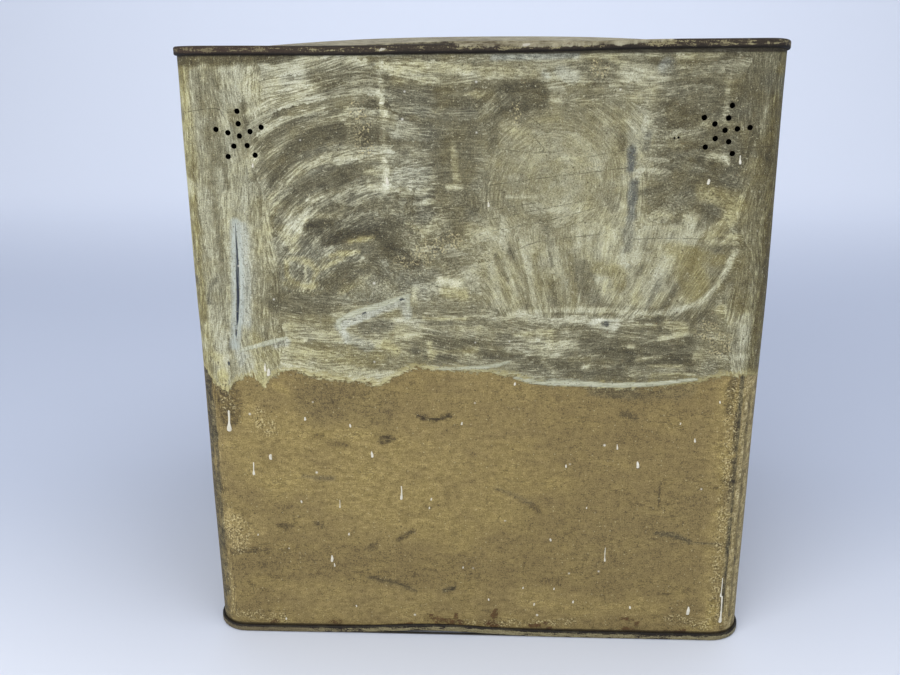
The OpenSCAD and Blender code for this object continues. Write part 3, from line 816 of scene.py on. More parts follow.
def ground(canvas):
    """The broad tones of both coats before any single stroke."""
    s, z = canvas.s, canvas.z
    canvas.fill(1.0, tone=0.50, yellow=0.12, blue=0.06, contrast=0.62)
    canvas.fill(1 - smooth(s, -126, -112), tone=0.58, blue=0.28, contrast=0.5)
    canvas.fill(region(s, -116, -22, 10) * smooth(z, 210, 224), tone=0.50, blue=0.28, contrast=0.9)
    canvas.fill(region(s, -4, 90, 6) * smooth(z, 318, 330), tone=0.48, contrast=0.6)
    canvas.fill(region(s, -30, 2, 8) * region(z, 255, 335, 8), tone=0.28)
    rub = np.exp(-(((s - RUB_CENTRE[0]) / 44) ** 4) - ((z - RUB_CENTRE[1]) / 30) ** 4)
    canvas.fill(rub, tone=0.58, yellow=0.20, contrast=0.18)
    canvas.fill(region(s, 6, 128, 8) * region(z, 212, 262, 6), tone=0.62, yellow=0.18, contrast=0.3)
    canvas.fill(region(s, 94, 150, 8) * region(z, 262, 350, 8), tone=0.27, yellow=0.16, contrast=0.7)
    canvas.fill(region(z, 150, 211, 2) * region(s, -120, 140, 8), tone=0.44, contrast=0.75)
    canvas.fill(region(z, 150, 211, 4) * region(s, 50, 128, 8), tone=0.36)
    canvas.fill(region(z, 150, 211, 4) * region(s, -130, -34, 8), tone=0.63, yellow=0.30)
    for side, tone in ((-1, 0.46), (1, 0.27)):
        canvas.fill(region(side * s, 154, 172, 4), tone=tone, yellow=0.8, blue=0.0, contrast=0.95)
    wander = noise(s, z, 46, 81, 4) - 0.5
    canvas.channel["tone"] = canvas.channel["tone"] + 0.30 * wander
    off_front = smooth(np.abs(s), 168, 184)
    canvas.fill(off_front, tone=0.50 + 0.55 * (noise(s, z * 1.6, 60, 82, 4) - 0.5), contrast=0.75)
    canvas.fill(off_front, yellow=np.clip(0.9 * noise(s, z, 70, 83) - 0.2, 0, 1), blue=0.12)


def scattered_strokes(canvas, rng, count, on_front):
    """Short marks along the local direction of the brush."""
    for _ in range(count):
        s0 = rng.uniform(-150, 150) if on_front else rng.choice((-1, 1)) * rng.uniform(176, 322)
        z0 = rng.uniform(178, 346)
        swing = math.atan2(s0 - ARC_CENTRE[0], z0 - ARC_CENTRE[1])
        angle = -swing if on_front and -126 < s0 < -20 and z0 > 216 else rng.normal(0, 0.12)
        if on_front and (s0 < -118 or s0 > 144):
            angle = math.pi / 2 + rng.normal(0, 0.06)
        if on_front and 6 < s0 < 126 and 212 < z0 < 258:
            angle = math.atan2(z0 - FAN_CENTRE[1], s0 - FAN_CENTRE[0])
        length = rng.uniform(6, 26) if on_front else rng.uniform(15, 70)
        width = rng.uniform(1.2, 3.6) if on_front else rng.uniform(3, 12)
        ds, dz = length / 2 * math.cos(angle), length / 2 * math.sin(angle)
        pale = rng.random() < 0.5
        if not pale and math.hypot((s0 - RUB_CENTRE[0]) / 46, (z0 - RUB_CENTRE[1]) / 34) < 1:
            continue
        tone = rng.uniform(0.62, 0.86) if pale else rng.uniform(0.16, 0.36)
        tint = dict(yellow=rng.uniform(0, 0.7) if pale else 0.1, blue=rng.uniform(0, 0.3))
        canvas.stroke(
            [(s0 - ds, z0 - dz), (s0 + ds, z0 + dz)], width, rng.uniform(0.35, 0.75), 0.6, tone=tone, **tint,
        )


def coat_height(s, rear):
    """Height of the upper coat's edge round the tin."""
    edge = np.array(COAT_EDGE, float)
    front = np.interp(s, edge[:, 0], edge[:, 1])
    around = 170 + 9 * (noise(s, s * 0, 40, 91 + rear, 3) - 0.5)
    on_front = (1 - smooth(np.abs(s), 160, 180)) * (not rear)
    return front * on_front + around * (1 - on_front)


def paint_coats(upper, lower, rng, rear):
    """The broad tones of both coats, then their strokes."""
    s, z = upper.s, upper.z
    ground(upper)
    lower.fill(1.0, tone=0.475 + 0.16 * (noise(s, z, 60, 84, 3) - 0.5), yellow=0.12, contrast=0.5)
    lower.fill(smooth(s, 20, 90), tone=0.45, yellow=0.0, strength=0.6)
    lower.fill(region(s, 138, 160, 5) * (not rear), tone=0.58, yellow=0.3)
    if rear:
        upper.fill(1.0, tone=0.54 + 0.9 * (noise(s, z * 1.2, 90, 85, 4) - 0.5), contrast=0.7)
        upper.fill(1.0, yellow=np.clip(noise(s, z, 80, 86) * 0.9 - 0.2, 0, 1), blue=0.1)
        scattered_strokes(upper, rng, 90, False)
        rear_strokes(upper, rng)
    else:
        scattered_strokes(upper, rng, 110, False)
        scattered_strokes(upper, rng, 260, True)
        for tone, yellow, blue, strength, width, path in UPPER_STROKES:
            upper.stroke(curve(path), width, strength, 0.5, tone=tone, yellow=yellow, blue=blue)
        for tone, yellow, blue, strength, width, path in LOWER_STROKES:
            lower.stroke(curve(path), width, strength, 0.7, tone=tone, yellow=yellow, blue=blue)
    for _ in range(70):
        s0, z0 = rng.uniform(-320, 320), rng.uniform(12, 165)
        reach = rng.uniform(1, 5)
        path = [(s0 - reach, z0), (s0 + reach, z0 + rng.normal(0, 1.5))]
        lower.stroke(path, rng.uniform(1.2, 3.5), rng.uniform(0.3, 0.7), 0.9, tone=rng.uniform(0.15, 0.4))


def rear_strokes(canvas, rng):
    """Longer bowed strokes, only on the rear."""
    for _ in range(110):
        s0, z0 = rng.uniform(-175, 175), rng.uniform(178, 346)
        reach, rise = rng.uniform(8, 40), rng.normal(0, 14)
        tone = rng.choice((rng.uniform(0.62, 0.82), rng.uniform(0.18, 0.36)))
        path = curve([(s0 - reach, z0 - rise), (s0, z0 + rng.normal(0, 3)), (s0 + reach, z0 + rise)], 9)
        width, strength = rng.uniform(3, 11), rng.uniform(0.4, 0.8)
        canvas.stroke(path, width, strength, 0.6, tone=tone, yellow=rng.uniform(0, 0.5))


def rust_share(canvas, rng, rear):
    """How rusty each point is, from 0 to 1, in stains that rise from the foot seam."""
    rust = np.zeros(len(canvas.s))
    spots = rng.uniform(-320, 320, 10)
    stains = [(rng.uniform(3, 7), [(c, 5), (c + rng.uniform(2, 9), 7)]) for c in spots]
    for width, path in ([] if rear else RUST) + stains:
        d, _ = canvas.distance(path)
        ragged = d + 3 * (noise(canvas.s, canvas.z, 4, 95) - 0.5)
        rust = np.maximum(rust, 1 - smooth(ragged, width * 0.25, width * 0.75))
    return rust


def mark_distances(canvas, rear):
    """Distance to the long scratch, to the raised ridges of paint and to their dark cores."""
    far = np.full(len(canvas.s), 20.0)
    if rear:
        return far, far, far
    scratch, along = canvas.distance(curve(SCRATCH))
    scratch = scratch + 1.2 * (1 - np.sin(np.clip(along, 0.02, 0.98) * math.pi) ** 0.4)
    ridge, cores = far, far
    for width, path in RIDGES:
        d, t = canvas.distance(curve(path))
        taper = 0.35 + 0.65 * np.sin(np.clip(t, 0.04, 0.96) * math.pi) ** 0.5
        ridge = np.minimum(ridge, d - width / 2 * taper)
    for path in RIDGE_CORES:
        cores = np.minimum(cores, canvas.distance(path)[0])
    return np.minimum(scratch, far), ridge, cores


def crazed_share(canvas, rng, rear):
    """How crazed the paint is at each point, from 0 to 1."""
    craze = np.zeros(len(canvas.s))
    zones = [] if rear else CRAZED
    for _ in range(14):
        s0, z0 = rng.choice((-1, 1)) * rng.uniform(178, 320), rng.uniform(10, 340)
        zones = zones + [(rng.uniform(8, 24), [(s0, z0), (s0 + rng.uniform(2, 20), z0 + rng.uniform(-6, 6))])]
    for width, path in zones:
        d, _ = canvas.distance(path)
        wander = width * 0.5 * (noise(canvas.s, canvas.z, 6, 96) - 0.5)
        craze = np.maximum(craze, 1 - smooth(d + wander, width * 0.3, width * 0.6))
    return craze


def paint_attributes(mesh, rear):
    """Paints a sheet and stores the result at its points."""
    points = points_mm(mesh)
    s, z = unrolled(points), points[:, 2]
    rng = np.random.default_rng(20 + rear)
    upper, lower = Canvas(s, z, 200 + 500 * rear), Canvas(s, z, 900 + 500 * rear)
    paint_coats(upper, lower, rng, rear)
    rust = rust_share(lower, rng, rear)
    edge = np.clip(z - coat_height(s, rear), -30, 30)
    line, near_line = thin_lines(s, z, [] if rear else THIN_LINES)
    u, low = upper.channel, lower.channel
    put_vectors(mesh, "sheet", (s + 700 * rear, z, points[:, 1] * 0))
    put_vectors(mesh, "upper", (np.clip(u["tone"], 0, 1), u["yellow"], u["blue"]))
    put_vectors(mesh, "lower", (np.clip(low["tone"], 0, 1), low["yellow"], low["blue"]))
    put_vectors(mesh, "state", (u["contrast"], edge, rust))
    put_vectors(mesh, "marks", mark_distances(upper, rear))
    put_vectors(mesh, "fine", (line, near_line, crazed_share(lower, rng, rear)))
    weights = rear_weights(s, z) if rear else flow_weights(s, z)
    put_vectors(mesh, "flow_a", weights[:3])
    put_vectors(mesh, "flow_b", weights[3:])


# ---------------------------------------------------------------- materials


def srgb(red, green, blue):
    """A colour picked on screen, from 0 to 255, as linear light."""
    shares = [c / 255 for c in (red, green, blue)]
    return tuple(((c + 0.055) / 1.055) ** 2.4 if c > 0.04045 else c / 12.92 for c in shares) + (1.0,)


class Value:
    """A node's output, which adds, subtracts and multiplies like a number by making more nodes."""

    def __init__(self, shader, socket):
        self.shader, self.socket = shader, socket

    def __add__(self, other):
        return self.shader.math("ADD", self, other)

    def __mul__(self, other):
        return self.shader.math("MULTIPLY", self, other)

    def __sub__(self, other):
        return self.shader.math("SUBTRACT", self, other)

    def __rsub__(self, other):
        return self.shader.math("SUBTRACT", other, self)

    def __truediv__(self, number):
        return self * (1 / number)

    def __neg__(self):
        return self * -1.0

    def __abs__(self):
        return self.shader.math("ABSOLUTE", self)

    __radd__, __rmul__ = __add__, __mul__


class Shader:
    """A material and short ways to add nodes to it."""

    def __init__(self, name):
        self.material = bpy.data.materials.new(name)
        self.material.use_nodes = True
        self.tree = self.material.node_tree
        self.tree.nodes.clear()
        self.surface = self.node("ShaderNodeBsdfPrincipled")
        output = self.node("ShaderNodeOutputMaterial")
        self.tree.links.new(self.surface.outputs["BSDF"], output.inputs["Surface"])

    def node(self, kind, **settings):
        made = self.tree.nodes.new(kind)
        for key, value in settings.items():
            setattr(made, key, value)
        return made

    def wire(self, socket, value):
        """Links a socket to a value, or sets it to a plain number or colour."""
        if isinstance(value, Value):
            self.tree.links.new(value.socket, socket)
        elif value is not None:
            socket.default_value = value

    def attribute(self, name):
        return Value(self, self.node("ShaderNodeAttribute", attribute_name=name).outputs["Vector"])

    def split(self, vector):
        made = self.node("ShaderNodeSeparateXYZ")
        self.wire(made.inputs[0], vector)
        return [Value(self, socket) for socket in made.outputs]

    def join(self, x, y, z=0.0):
        made = self.node("ShaderNodeCombineXYZ")
        for socket, value in zip(made.inputs, (x, y, z)):
            self.wire(socket, value)
        return Value(self, made.outputs[0])

    def math(self, operation, a, b=0.0, c=0.0, clamp=False):
        made = self.node("ShaderNodeMath", operation=operation, use_clamp=clamp)
        for socket, value in zip(made.inputs, (a, b, c)):
            self.wire(socket, value)
        return Value(self, made.outputs[0])

    def vector(self, operation, a, b=None):
        made = self.node("ShaderNodeVectorMath", operation=operation)
        self.wire(made.inputs[0], a)
        self.wire(made.inputs[1], b)
        return Value(self, made.outputs["Value" if operation == "LENGTH" else "Vector"])

    def noise(self, vector, scale, detail=3.0, roughness=0.55, flat=False):
        made = self.node("ShaderNodeTexNoise", noise_dimensions="2D" if flat else "3D")
        self.wire(made.inputs["Vector"], vector)
        made.inputs["Scale"].default_value = scale
        made.inputs["Detail"].default_value = detail
        made.inputs["Roughness"].default_value = roughness
        return Value(self, made.outputs["Fac"])

    def swing(self, vector, scale, detail=3.0, roughness=0.55, flat=False):
        """Noise about zero, from about -1 to 1."""
        fac = self.noise(vector, scale, detail, roughness, flat)
        return fac * 4.0 - 2.0

    def step(self, value, low, high, to_low=0.0, to_high=1.0):
        """A smooth step of value from low to high."""
        made = self.node("ShaderNodeMapRange", interpolation_type="SMOOTHSTEP")
        for socket, given in zip(made.inputs, (value, low, high, to_low, to_high)):
            self.wire(socket, given)
        return Value(self, made.outputs[0])

    def ramp(self, fac, *stops):
        """A colour from stops of (place, red, green, blue), picked on screen."""
        made = self.node("ShaderNodeValToRGB")
        self.wire(made.inputs[0], fac)
        elements = made.color_ramp.elements
        while len(elements) < len(stops):
            elements.new(0.5)
        for element, (place, *colour) in zip(elements, stops):
            element.position = place
            element.color = srgb(*colour)
        return Value(self, made.outputs["Color"])

    def mix(self, fac, a, b):
        """Colour a where fac is 0 and b where it is 1."""
        made = self.node("ShaderNodeMix", data_type="RGBA")
        self.wire(made.inputs[0], fac)
        self.wire(made.inputs[6], a)
        self.wire(made.inputs[7], b)
        return Value(self, made.outputs[2])

    def own_metres(self):
        """The piece's own coordinates."""
        return Value(self, self.node("ShaderNodeTexCoord").outputs["Object"])

    def place(self):
        """The same in millimetres."""
        scaled = self.node("ShaderNodeVectorMath", operation="SCALE")
        self.wire(scaled.inputs[0], self.own_metres())
        scaled.inputs["Scale"].default_value = 1 / MM
        return Value(self, scaled.outputs["Vector"])

    def finish(self, colour, roughness, height=None, depth=0.0001, metallic=0.0, specular=0.5):
        self.wire(self.surface.inputs["Base Color"], colour)
        self.wire(self.surface.inputs["Roughness"], roughness)
        self.wire(self.surface.inputs["Metallic"], metallic)
        self.surface.inputs["Specular IOR Level"].default_value = specular
        if height is not None:
            bump = self.node("ShaderNodeBump")
            bump.inputs["Distance"].default_value = depth
            bump.inputs["Strength"].default_value = 1.0
            self.wire(bump.inputs["Height"], height)
            self.wire(self.surface.inputs["Normal"], Value(self, bump.outputs["Normal"]))
        return self.material


def polar(sh, place, centre):
    """Angle round a centre, which joins up straight below it, and distance from the centre."""
    rel = sh.vector("SUBTRACT", place, (centre[0], centre[1], 0.0))
    x, z, _ = sh.split(rel)
    return sh.math("ARCTAN2", x, z), sh.vector("LENGTH", rel)


def brush_direction(sh, place):
    """Distance along and across the strokes, whichever way this part of the face was brushed."""
    s, z, _ = sh.split(place)
    arc_a, arc_r = polar(sh, place, ARC_CENTRE)
    rub_a, rub_r = polar(sh, place, RUB_CENTRE)
    fan_a, fan_r = polar(sh, place, FAN_CENTRE)
    swept, level, upright = sh.split(sh.attribute("flow_a"))
    rubbed, fanned, dabbed = sh.split(sh.attribute("flow_b"))
    jitter = sh.node("ShaderNodeTexNoise", noise_dimensions="2D")
    sh.wire(jitter.inputs["Vector"], place)
    jitter.inputs["Scale"].default_value = 1 / 8.0
    jitter.inputs["Detail"].default_value = 4.0
    j1, j2, j3 = sh.split(Value(sh, jitter.outputs["Color"]))
    families = [
        (level + j1 * 0.9, sh.join(s, z)), (swept + j2 * 0.9, sh.join(arc_a * 75.0, arc_r)),
        (upright + j3 * 0.9, sh.join(z, s)), (rubbed + (1 - j1) * 0.9, sh.join(rub_a * 40.0, rub_r)),
        (fanned + (1 - j2) * 0.9, sh.join(fan_r, fan_a * 100.0)),
        (dabbed + (1 - j3) * 0.9, sh.join(s * 3.0, z)),
    ]
    best, chosen = families[0]
    for score, coordinates in families[1:]:
        wins = sh.math("GREATER_THAN", score, best)
        blend = sh.node("ShaderNodeMix", data_type="VECTOR")
        sh.wire(blend.inputs[0], wins)
        sh.wire(blend.inputs[4], chosen)
        sh.wire(blend.inputs[5], coordinates)
        chosen = Value(sh, blend.outputs[1])
        best = sh.math("MAXIMUM", best, score)
    return chosen


def bristles(sh, place):
    """Fine lines, broken flecks and broad streaks of single strokes, and each stroke's load of paint."""
    along, across, _ = sh.split(brush_direction(sh, place))
    rough = sh.noise(place, 1 / 3.0, 3.0, 0.6, True)
    stroke = sh.node("ShaderNodeTexVoronoi", voronoi_dimensions="2D")
    cell_place = sh.join(rough * 0.25 + along / 42.0, rough * 0.5 + across / 6.5)
    sh.wire(stroke.inputs["Vector"], cell_place)
    stroke.inputs["Scale"].default_value = 1.0
    load, slant, shift = sh.split(Value(sh, stroke.outputs["Color"]))
    start = sh.split(Value(sh, stroke.outputs["Position"]))[0] * 42.0
    slope = slant * 0.2 - 0.1
    lean = slope * (along - start)
    across = across + lean + shift * 60.0
    fine = sh.swing(sh.join(along / 11.0, across / 0.75), 1.0, 3.0, 0.65, True)
    fleck = sh.swing(sh.join(along / 5.0, across / 1.25), 1.0, 6.0, 0.74, True)
    broad = sh.swing(sh.join(along / 40.0, across / 4.5), 1.0, 4.0, 0.62, True)
    return fine, fleck, broad, load * 2.0 - 1.0


def upper_coat(sh, place, fine, fleck, broad, load, grain, mottle):
    """Cream and sage paint brushed thinly over grey-brown."""
    tone, yellow, blue = sh.split(sh.attribute("upper"))
    contrast = sh.split(sh.attribute("state"))[0]
    lively = contrast * 0.65 + 0.35
    wet = fine * 0.2 + fleck * 0.24 + broad * 0.1 + load * 0.12
    calm = tone * 0.62 + 0.17
    film = calm + lively * wet
    cover = sh.step(film, 0.40, 0.62)
    lift = lively * (cover * 0.2 - 0.1 + fine * 0.11 + broad * 0.07 + load * 0.06 + fleck * 0.11)
    value = calm + lift + grain * 0.14 + mottle * 0.07
    neutral = sh.ramp(
        value, (0.0, 42, 39, 30), (0.22, 82, 78, 59), (0.42, 121, 117, 93), (0.62, 155, 152, 124),
        (0.8, 190, 189, 163), (1.0, 228, 229, 214),
    )
    warm = sh.ramp(
        value, (0.0, 48, 40, 24), (0.25, 97, 87, 53), (0.5, 140, 132, 90), (0.75, 182, 176, 124),
        (1.0, 218, 213, 166),
    )
    cool = sh.ramp(value, (0.0, 36, 40, 45), (0.3, 86, 91, 90), (0.6, 148, 153, 145), (1.0, 216, 220, 213))
    tint = sh.swing(place, 1 / 13.0, 5.0, 0.68, True)
    brushed = sh.mix(sh.math("ADD", yellow, tint * 0.32, clamp=True), neutral, warm)
    brushed = sh.mix(sh.math("MULTIPLY_ADD", blue, 0.75, load * 0.08, clamp=True), brushed, cool)
    crisp = sh.step(fleck + tone * 0.5, 0.82, 1.0)
    brushed = sh.mix(crisp * lively * 0.7, brushed, srgb(216, 213, 188))
    grit = sh.step(fleck + grain * 0.35 + tone * 0.5, -0.42, -0.62)
    brushed = sh.mix(grit * lively * 0.6, brushed, srgb(54, 48, 35))
    chip = sh.step(sh.noise(place, 1 / 2.4, 4.0, 0.7, True), 0.655, 0.69)
    return sh.mix(chip * 0.45, brushed, srgb(200, 197, 168)), cover


def lower_coat(sh, place, fine, grain, mottle):
    """Flat ochre paint, freckled and dirtied."""
    tone, yellow, blue = sh.split(sh.attribute("lower"))
    s, z, _ = sh.split(place)
    weft = sh.swing(sh.join(s / 9.0, z), 1.0, 4.0, 0.66, True)
    warp = sh.swing(sh.join(s, z / 6.0), 1.0, 4.0, 0.66, True)
    cloud = sh.swing(sh.join(s / 26.0, z / 14.0), 1.0, 6.0, 0.66, True)
    grime = sh.swing(sh.join(s / 5.0, z / 2.6), 1.0, 6.0, 0.74, True)
    dirt = sh.noise(place, 1 / 2.6, 6.0, 0.74, True)
    clean = sh.step(tone * 0.9 + dirt, 0.79, 0.88)
    corner = sh.step(abs(s), 148.0, 153.0)
    broken = sh.step(grime, -0.3, 0.3, 0.1, 1.9)
    mark = (tone - 0.5) * broken * 0.62
    value = (
        mark + 0.4 + clean * 0.1 + weft * 0.05 + warp * 0.03 + grain * 0.17 + mottle * 0.08 + cloud * 0.08
        + grime * 0.09 + fine * corner * 0.26
    )
    crease = abs(sh.swing(sh.join(s / 13.0, z / 5.0), 1.0, 5.0, 0.6, True))
    where = sh.step(cloud * 0.6 + grime * 0.5 - tone, -0.46, -0.2)
    creased = sh.step(crease, 0.15, 0.05) * where
    ochre = sh.ramp(
        value, (0.0, 44, 36, 22), (0.2, 78, 67, 43), (0.42, 116, 101, 65), (0.58, 136, 120, 79),
        (0.8, 164, 147, 102), (1.0, 200, 186, 144),
    )
    golden = sh.ramp(
        value, (0.0, 54, 44, 20), (0.42, 124, 109, 58), (0.6, 146, 130, 74), (1.0, 206, 188, 122),
    )
    greyed = sh.ramp(value, (0.0, 36, 38, 34), (0.5, 110, 109, 88), (1.0, 198, 198, 178))
    gold = sh.math("MULTIPLY_ADD", yellow, 0.7, cloud * 0.22, clamp=True)
    colour = sh.mix(blue, sh.mix(gold, ochre, golden), greyed)
    return sh.mix(creased * 0.5, colour, srgb(58, 48, 32)), clean


def specks(sh, colour, place, size, amount, radius, shade, strength):
    """Scattered dots; amount is the share of the cells, each about size across, that hold one."""
    near = sh.node("ShaderNodeTexVoronoi", voronoi_dimensions="2D")
    sh.wire(near.inputs["Vector"], place)
    near.inputs["Scale"].default_value = 1 / size
    pick, scale, _ = sh.split(Value(sh, near.outputs["Color"]))
    held = sh.step(pick, 1 - amount, 1 - amount + 0.01)
    reach = scale * (radius / size) + radius / size * 0.5
    dot = sh.step(Value(sh, near.outputs["Distance"]) - reach, 0.03, -0.03)
    mask = dot * held * strength
    return sh.mix(mask, colour, shade), mask


def body_paint():
    """Brushed cream above a flat ochre coat, both stained, scratched and specked."""
    sh = Shader("body_paint")
    place = sh.attribute("sheet")
    wander = sh.node("ShaderNodeTexNoise", noise_dimensions="2D")
    sh.wire(wander.inputs["Vector"], place)
    wander.inputs["Scale"].default_value = 1 / 60.0
    wander.inputs["Detail"].default_value = 0.0
    drift = sh.node("ShaderNodeVectorMath", operation="MULTIPLY_ADD")
    sh.wire(drift.inputs[0], Value(sh, wander.outputs["Color"]))
    drift.inputs[1].default_value = (14.0, 14.0, 0.0)
    sh.wire(drift.inputs[2], place)
    fine, fleck, broad, load = bristles(sh, Value(sh, drift.outputs["Vector"]))
    grain = sh.swing(place, 1 / 0.75, 2.0, 0.7, True)
    mottle = sh.swing(place, 1 / 4.5, 5.0, 0.66, True)
    brushed, cover = upper_coat(sh, place, fine, fleck, broad, load, grain, mottle)
    base, clean = lower_coat(sh, place, fine, grain, mottle)
    _, edge, rust = sh.split(sh.attribute("state"))
    scratch, ridge, core = sh.split(sh.attribute("marks"))
    line, near_line, craze = sh.split(sh.attribute("fine"))

    ragged = edge + fine * 0.8 + fleck * 1.8 + mottle * 2.0
    strays = sh.step(edge * 0.13 + fleck, 0.4, 0.5)
    covered = sh.math("MAXIMUM", sh.step(ragged, -0.5, 0.6), strays)
    deposit = sh.step(ragged, -0.4, 0.6) * sh.step(ragged, 4.5, 1.0) * 0.5
    colour = sh.mix(covered, base, brushed)
    colour = sh.mix(deposit, colour, srgb(184, 174, 120))

    ridge_line = sh.step(ridge + fine * 0.5 + fleck * 0.5, 0.35, -0.25)
    ridge_colour = sh.ramp(
        fine * 0.3 + 0.5, (0.1, 130, 131, 110), (0.5, 178, 180, 157), (0.85, 212, 213, 194),
    )
    colour = sh.mix(ridge_line * 0.85, colour, ridge_colour)
    core_line = sh.step(core + mottle * 0.3 + fine * 0.15, 0.95, 0.5)
    colour = sh.mix(core_line * 0.9, colour, srgb(48, 53, 60))
    flank = sh.step(scratch, 5.0, 2.0) * sh.math("MULTIPLY_ADD", fleck, 0.5, 0.72, clamp=True)
    colour = sh.mix(flank, colour, srgb(172, 179, 172))
    groove = sh.step(scratch + fine * 0.15, 1.15, 0.6)
    colour = sh.mix(groove, colour, srgb(46, 52, 62))

    thin = abs(line + mottle * 0.15)
    thin_line = sh.step(thin, 0.34, 0.08) * near_line * sh.step(mottle, -0.5, 0.3)
    colour = sh.mix(thin_line * 0.65, colour, srgb(52, 46, 34))
    blister = sh.noise(place, 1 / 1.2, 4.0, 0.65, True)
    crazed = sh.step(craze + mottle * 0.8 + fleck * 0.2, 0.5, 1.3)
    cracks = sh.step(blister, 0.55, 0.61) * crazed
    colour = sh.mix(cracks * 0.7, colour, srgb(56, 46, 29))
    flake = sh.step(blister, 0.46, 0.4) * crazed
    colour = sh.mix(flake * 0.7, colour, srgb(196, 184, 140))

    freckle = sh.step(sh.noise(place, 1 / 1.4, 4.0, 0.66, True), 0.63, 0.67)
    colour = sh.mix(freckle * 0.5, colour, srgb(66, 55, 36))
    colour, big = specks(sh, colour, place, 7.5, 0.14, 0.42, srgb(58, 47, 31), 0.65)
    colour, _ = specks(sh, colour, place, 2.3, 0.30, 0.26, srgb(66, 55, 36), 0.6)
    colour, _ = specks(sh, colour, place, 3.1, 0.14, 0.26, srgb(188, 180, 142), 0.5)
    colour, chalk = specks(sh, colour, place, 19.0, 0.10, 0.45, srgb(214, 212, 200), 0.85)
    stain = sh.ramp(mottle * 0.3 + 0.5, (0.2, 38, 27, 18), (0.8, 88, 62, 38))
    spread = sh.step(rust + mottle * 0.75 + grain * 0.55, 0.72, 1.0)
    colour = sh.mix(spread * 0.9, colour, stain)
    z = sh.split(place)[1]
    # Painted shadow under the top seam: a near-black line along the wall just below it. The line just above
    # the foot seam is a rust line.
    seam_shadow_and_rust = sh.step(z, BODY_H - SEAM_H - 1.3, BODY_H - SEAM_H - 0.2)
    seam_shadow_and_rust = seam_shadow_and_rust + sh.step(z, SEAM_H + 1.5, SEAM_H + 0.4)
    colour = sh.mix(seam_shadow_and_rust * 0.85, colour, srgb(36, 30, 22))

    height = (
        (fine * 0.35 + fleck * 0.45 + cover * 0.8) * covered + covered * 1.4 + ridge_line * 2.4
        + groove * -3.0 + grain * 0.22 + mottle * 0.25 + cracks * -1.2 + thin_line * -1.2 + clean * 0.3
        + big * -0.6 + chalk * 1.5
    )
    rough = 0.6 + mottle * 0.05 + fine * 0.04 + rust * 0.2
    return sh.finish(colour, rough, height, 0.00012, specular=0.2)


def seam_finish(sh, place, from_gap, plate, onto_plate, worn=0.0):
    """Grime and old paint on a rolled seam, fading into the plate; the roll is painted lighter across its
    middle as a painted highlight, and near-black painted shade runs where the seam meets the wall and down
    into the groove.
    """
    x, y, z = sh.split(place)
    run = sh.join((x + y) / 8.0, (x - y) / 8.0, z / 0.8)
    streak = sh.swing(run, 1.0, 4.0, 0.65)
    patch = sh.swing(place, 1 / 12.0, 5.0, 0.66)
    grain = sh.swing(place, 1 / 0.9, 3.0, 0.7)
    # Painted highlight and wear: the roll is lighter across its middle and darker at its top and bottom
    # edges, standing in for light on a round bead; its middle also shows more old paint through the grime.
    bead_highlight_and_wear = sh.step(from_gap, 0.8, 2.2) * sh.step(from_gap, 4.6, 3.4)
    value = 0.13 + bead_highlight_and_wear * 0.12 + streak * 0.12 + patch * 0.12 + grain * 0.14
    flaked = worn + bead_highlight_and_wear * 0.35 + streak * 0.5 + patch * 0.6 + grain * 0.35
    grime = sh.ramp(
        value, (0.0, 24, 20, 16), (0.22, 52, 44, 35), (0.42, 86, 76, 57), (0.6, 120, 111, 82),
        (0.8, 158, 151, 116), (1.0, 196, 190, 160),
    )
    old_paint = sh.ramp(
        0.5 + grain * 0.25 + streak * 0.2, (0.0, 70, 62, 44), (0.4, 112, 104, 76), (0.7, 146, 139, 106),
        (1.0, 186, 180, 150),
    )
    grime = sh.mix(sh.step(flaked, 0.42, 0.56) * 0.85, grime, old_paint)
    ruddy = sh.step(-x + patch * 22.0, 60.0, 130.0)
    grime = sh.mix(ruddy * 0.45, grime, srgb(58, 42, 33))
    # Painted shade: near-black where the seam meets the wall and down into the groove beside it.
    gap = sh.step(from_gap + patch * 0.35 + grain * 0.2, 1.6, 0.7)
    colour = sh.mix(onto_plate, grime, plate)
    colour = sh.mix(gap * 0.92, colour, srgb(22, 18, 14))
    height = streak * 0.5 + patch + grain * 0.5 + onto_plate * 0.8
    return colour, height, patch, grain


def end_plate():
    """The crowned top: dirty cream paint on its panel, grime on its rolled seam, and painted shade along the
    seam's lower edge and in the groove.
    """
    sh = Shader("end_plate")
    place = sh.place()
    out, from_gap, splash = sh.split(sh.attribute("profile"))
    x, y, _ = sh.split(place)
    wide = sh.swing(place, 1 / 55.0, 4.0, 0.6)
    fleck = sh.swing(sh.join(x / 6.0, y / 1.6), 1.0, 5.0, 0.7)
    blotch = sh.swing(place, 1 / 9.0, 6.0, 0.7)
    value = 0.45 + wide * 0.1 + blotch * 0.26 + fleck * 0.36
    cream = sh.ramp(
        value, (0.0, 62, 54, 42), (0.25, 98, 90, 70), (0.5, 142, 136, 112), (0.75, 172, 167, 142),
        (1.0, 204, 200, 180),
    )
    bare = sh.step(blotch * 0.8 + wide * 0.5, 0.5, 0.75)
    cream = sh.mix(bare * 0.7, cream, srgb(88, 72, 52))
    onto = sh.step(-out + blotch * 1.3, 4.2, 6.6)
    side = sh.step(x, -45.0, 15.0) * sh.step(x, 130.0, 70.0) * sh.step(y, -100.0, -150.0)
    rubbed = sh.step(from_gap * side * 0.55 + blotch * 0.5 + fleck * 0.5, 1.25, 1.6)
    drop = sh.step(splash + fleck * 0.3, 0.45, 0.6)
    onto = sh.math("MAXIMUM", onto, sh.math("MAXIMUM", rubbed * 0.8, drop))
    colour, height, patch, grain = seam_finish(sh, place, from_gap, cream, onto)
    colour = sh.mix(drop * 0.6, colour, srgb(190, 186, 174))
    rough = 0.64 + patch * 0.07 + grain * 0.05
    return sh.finish(colour, rough, height, 0.00012, specular=0.2)


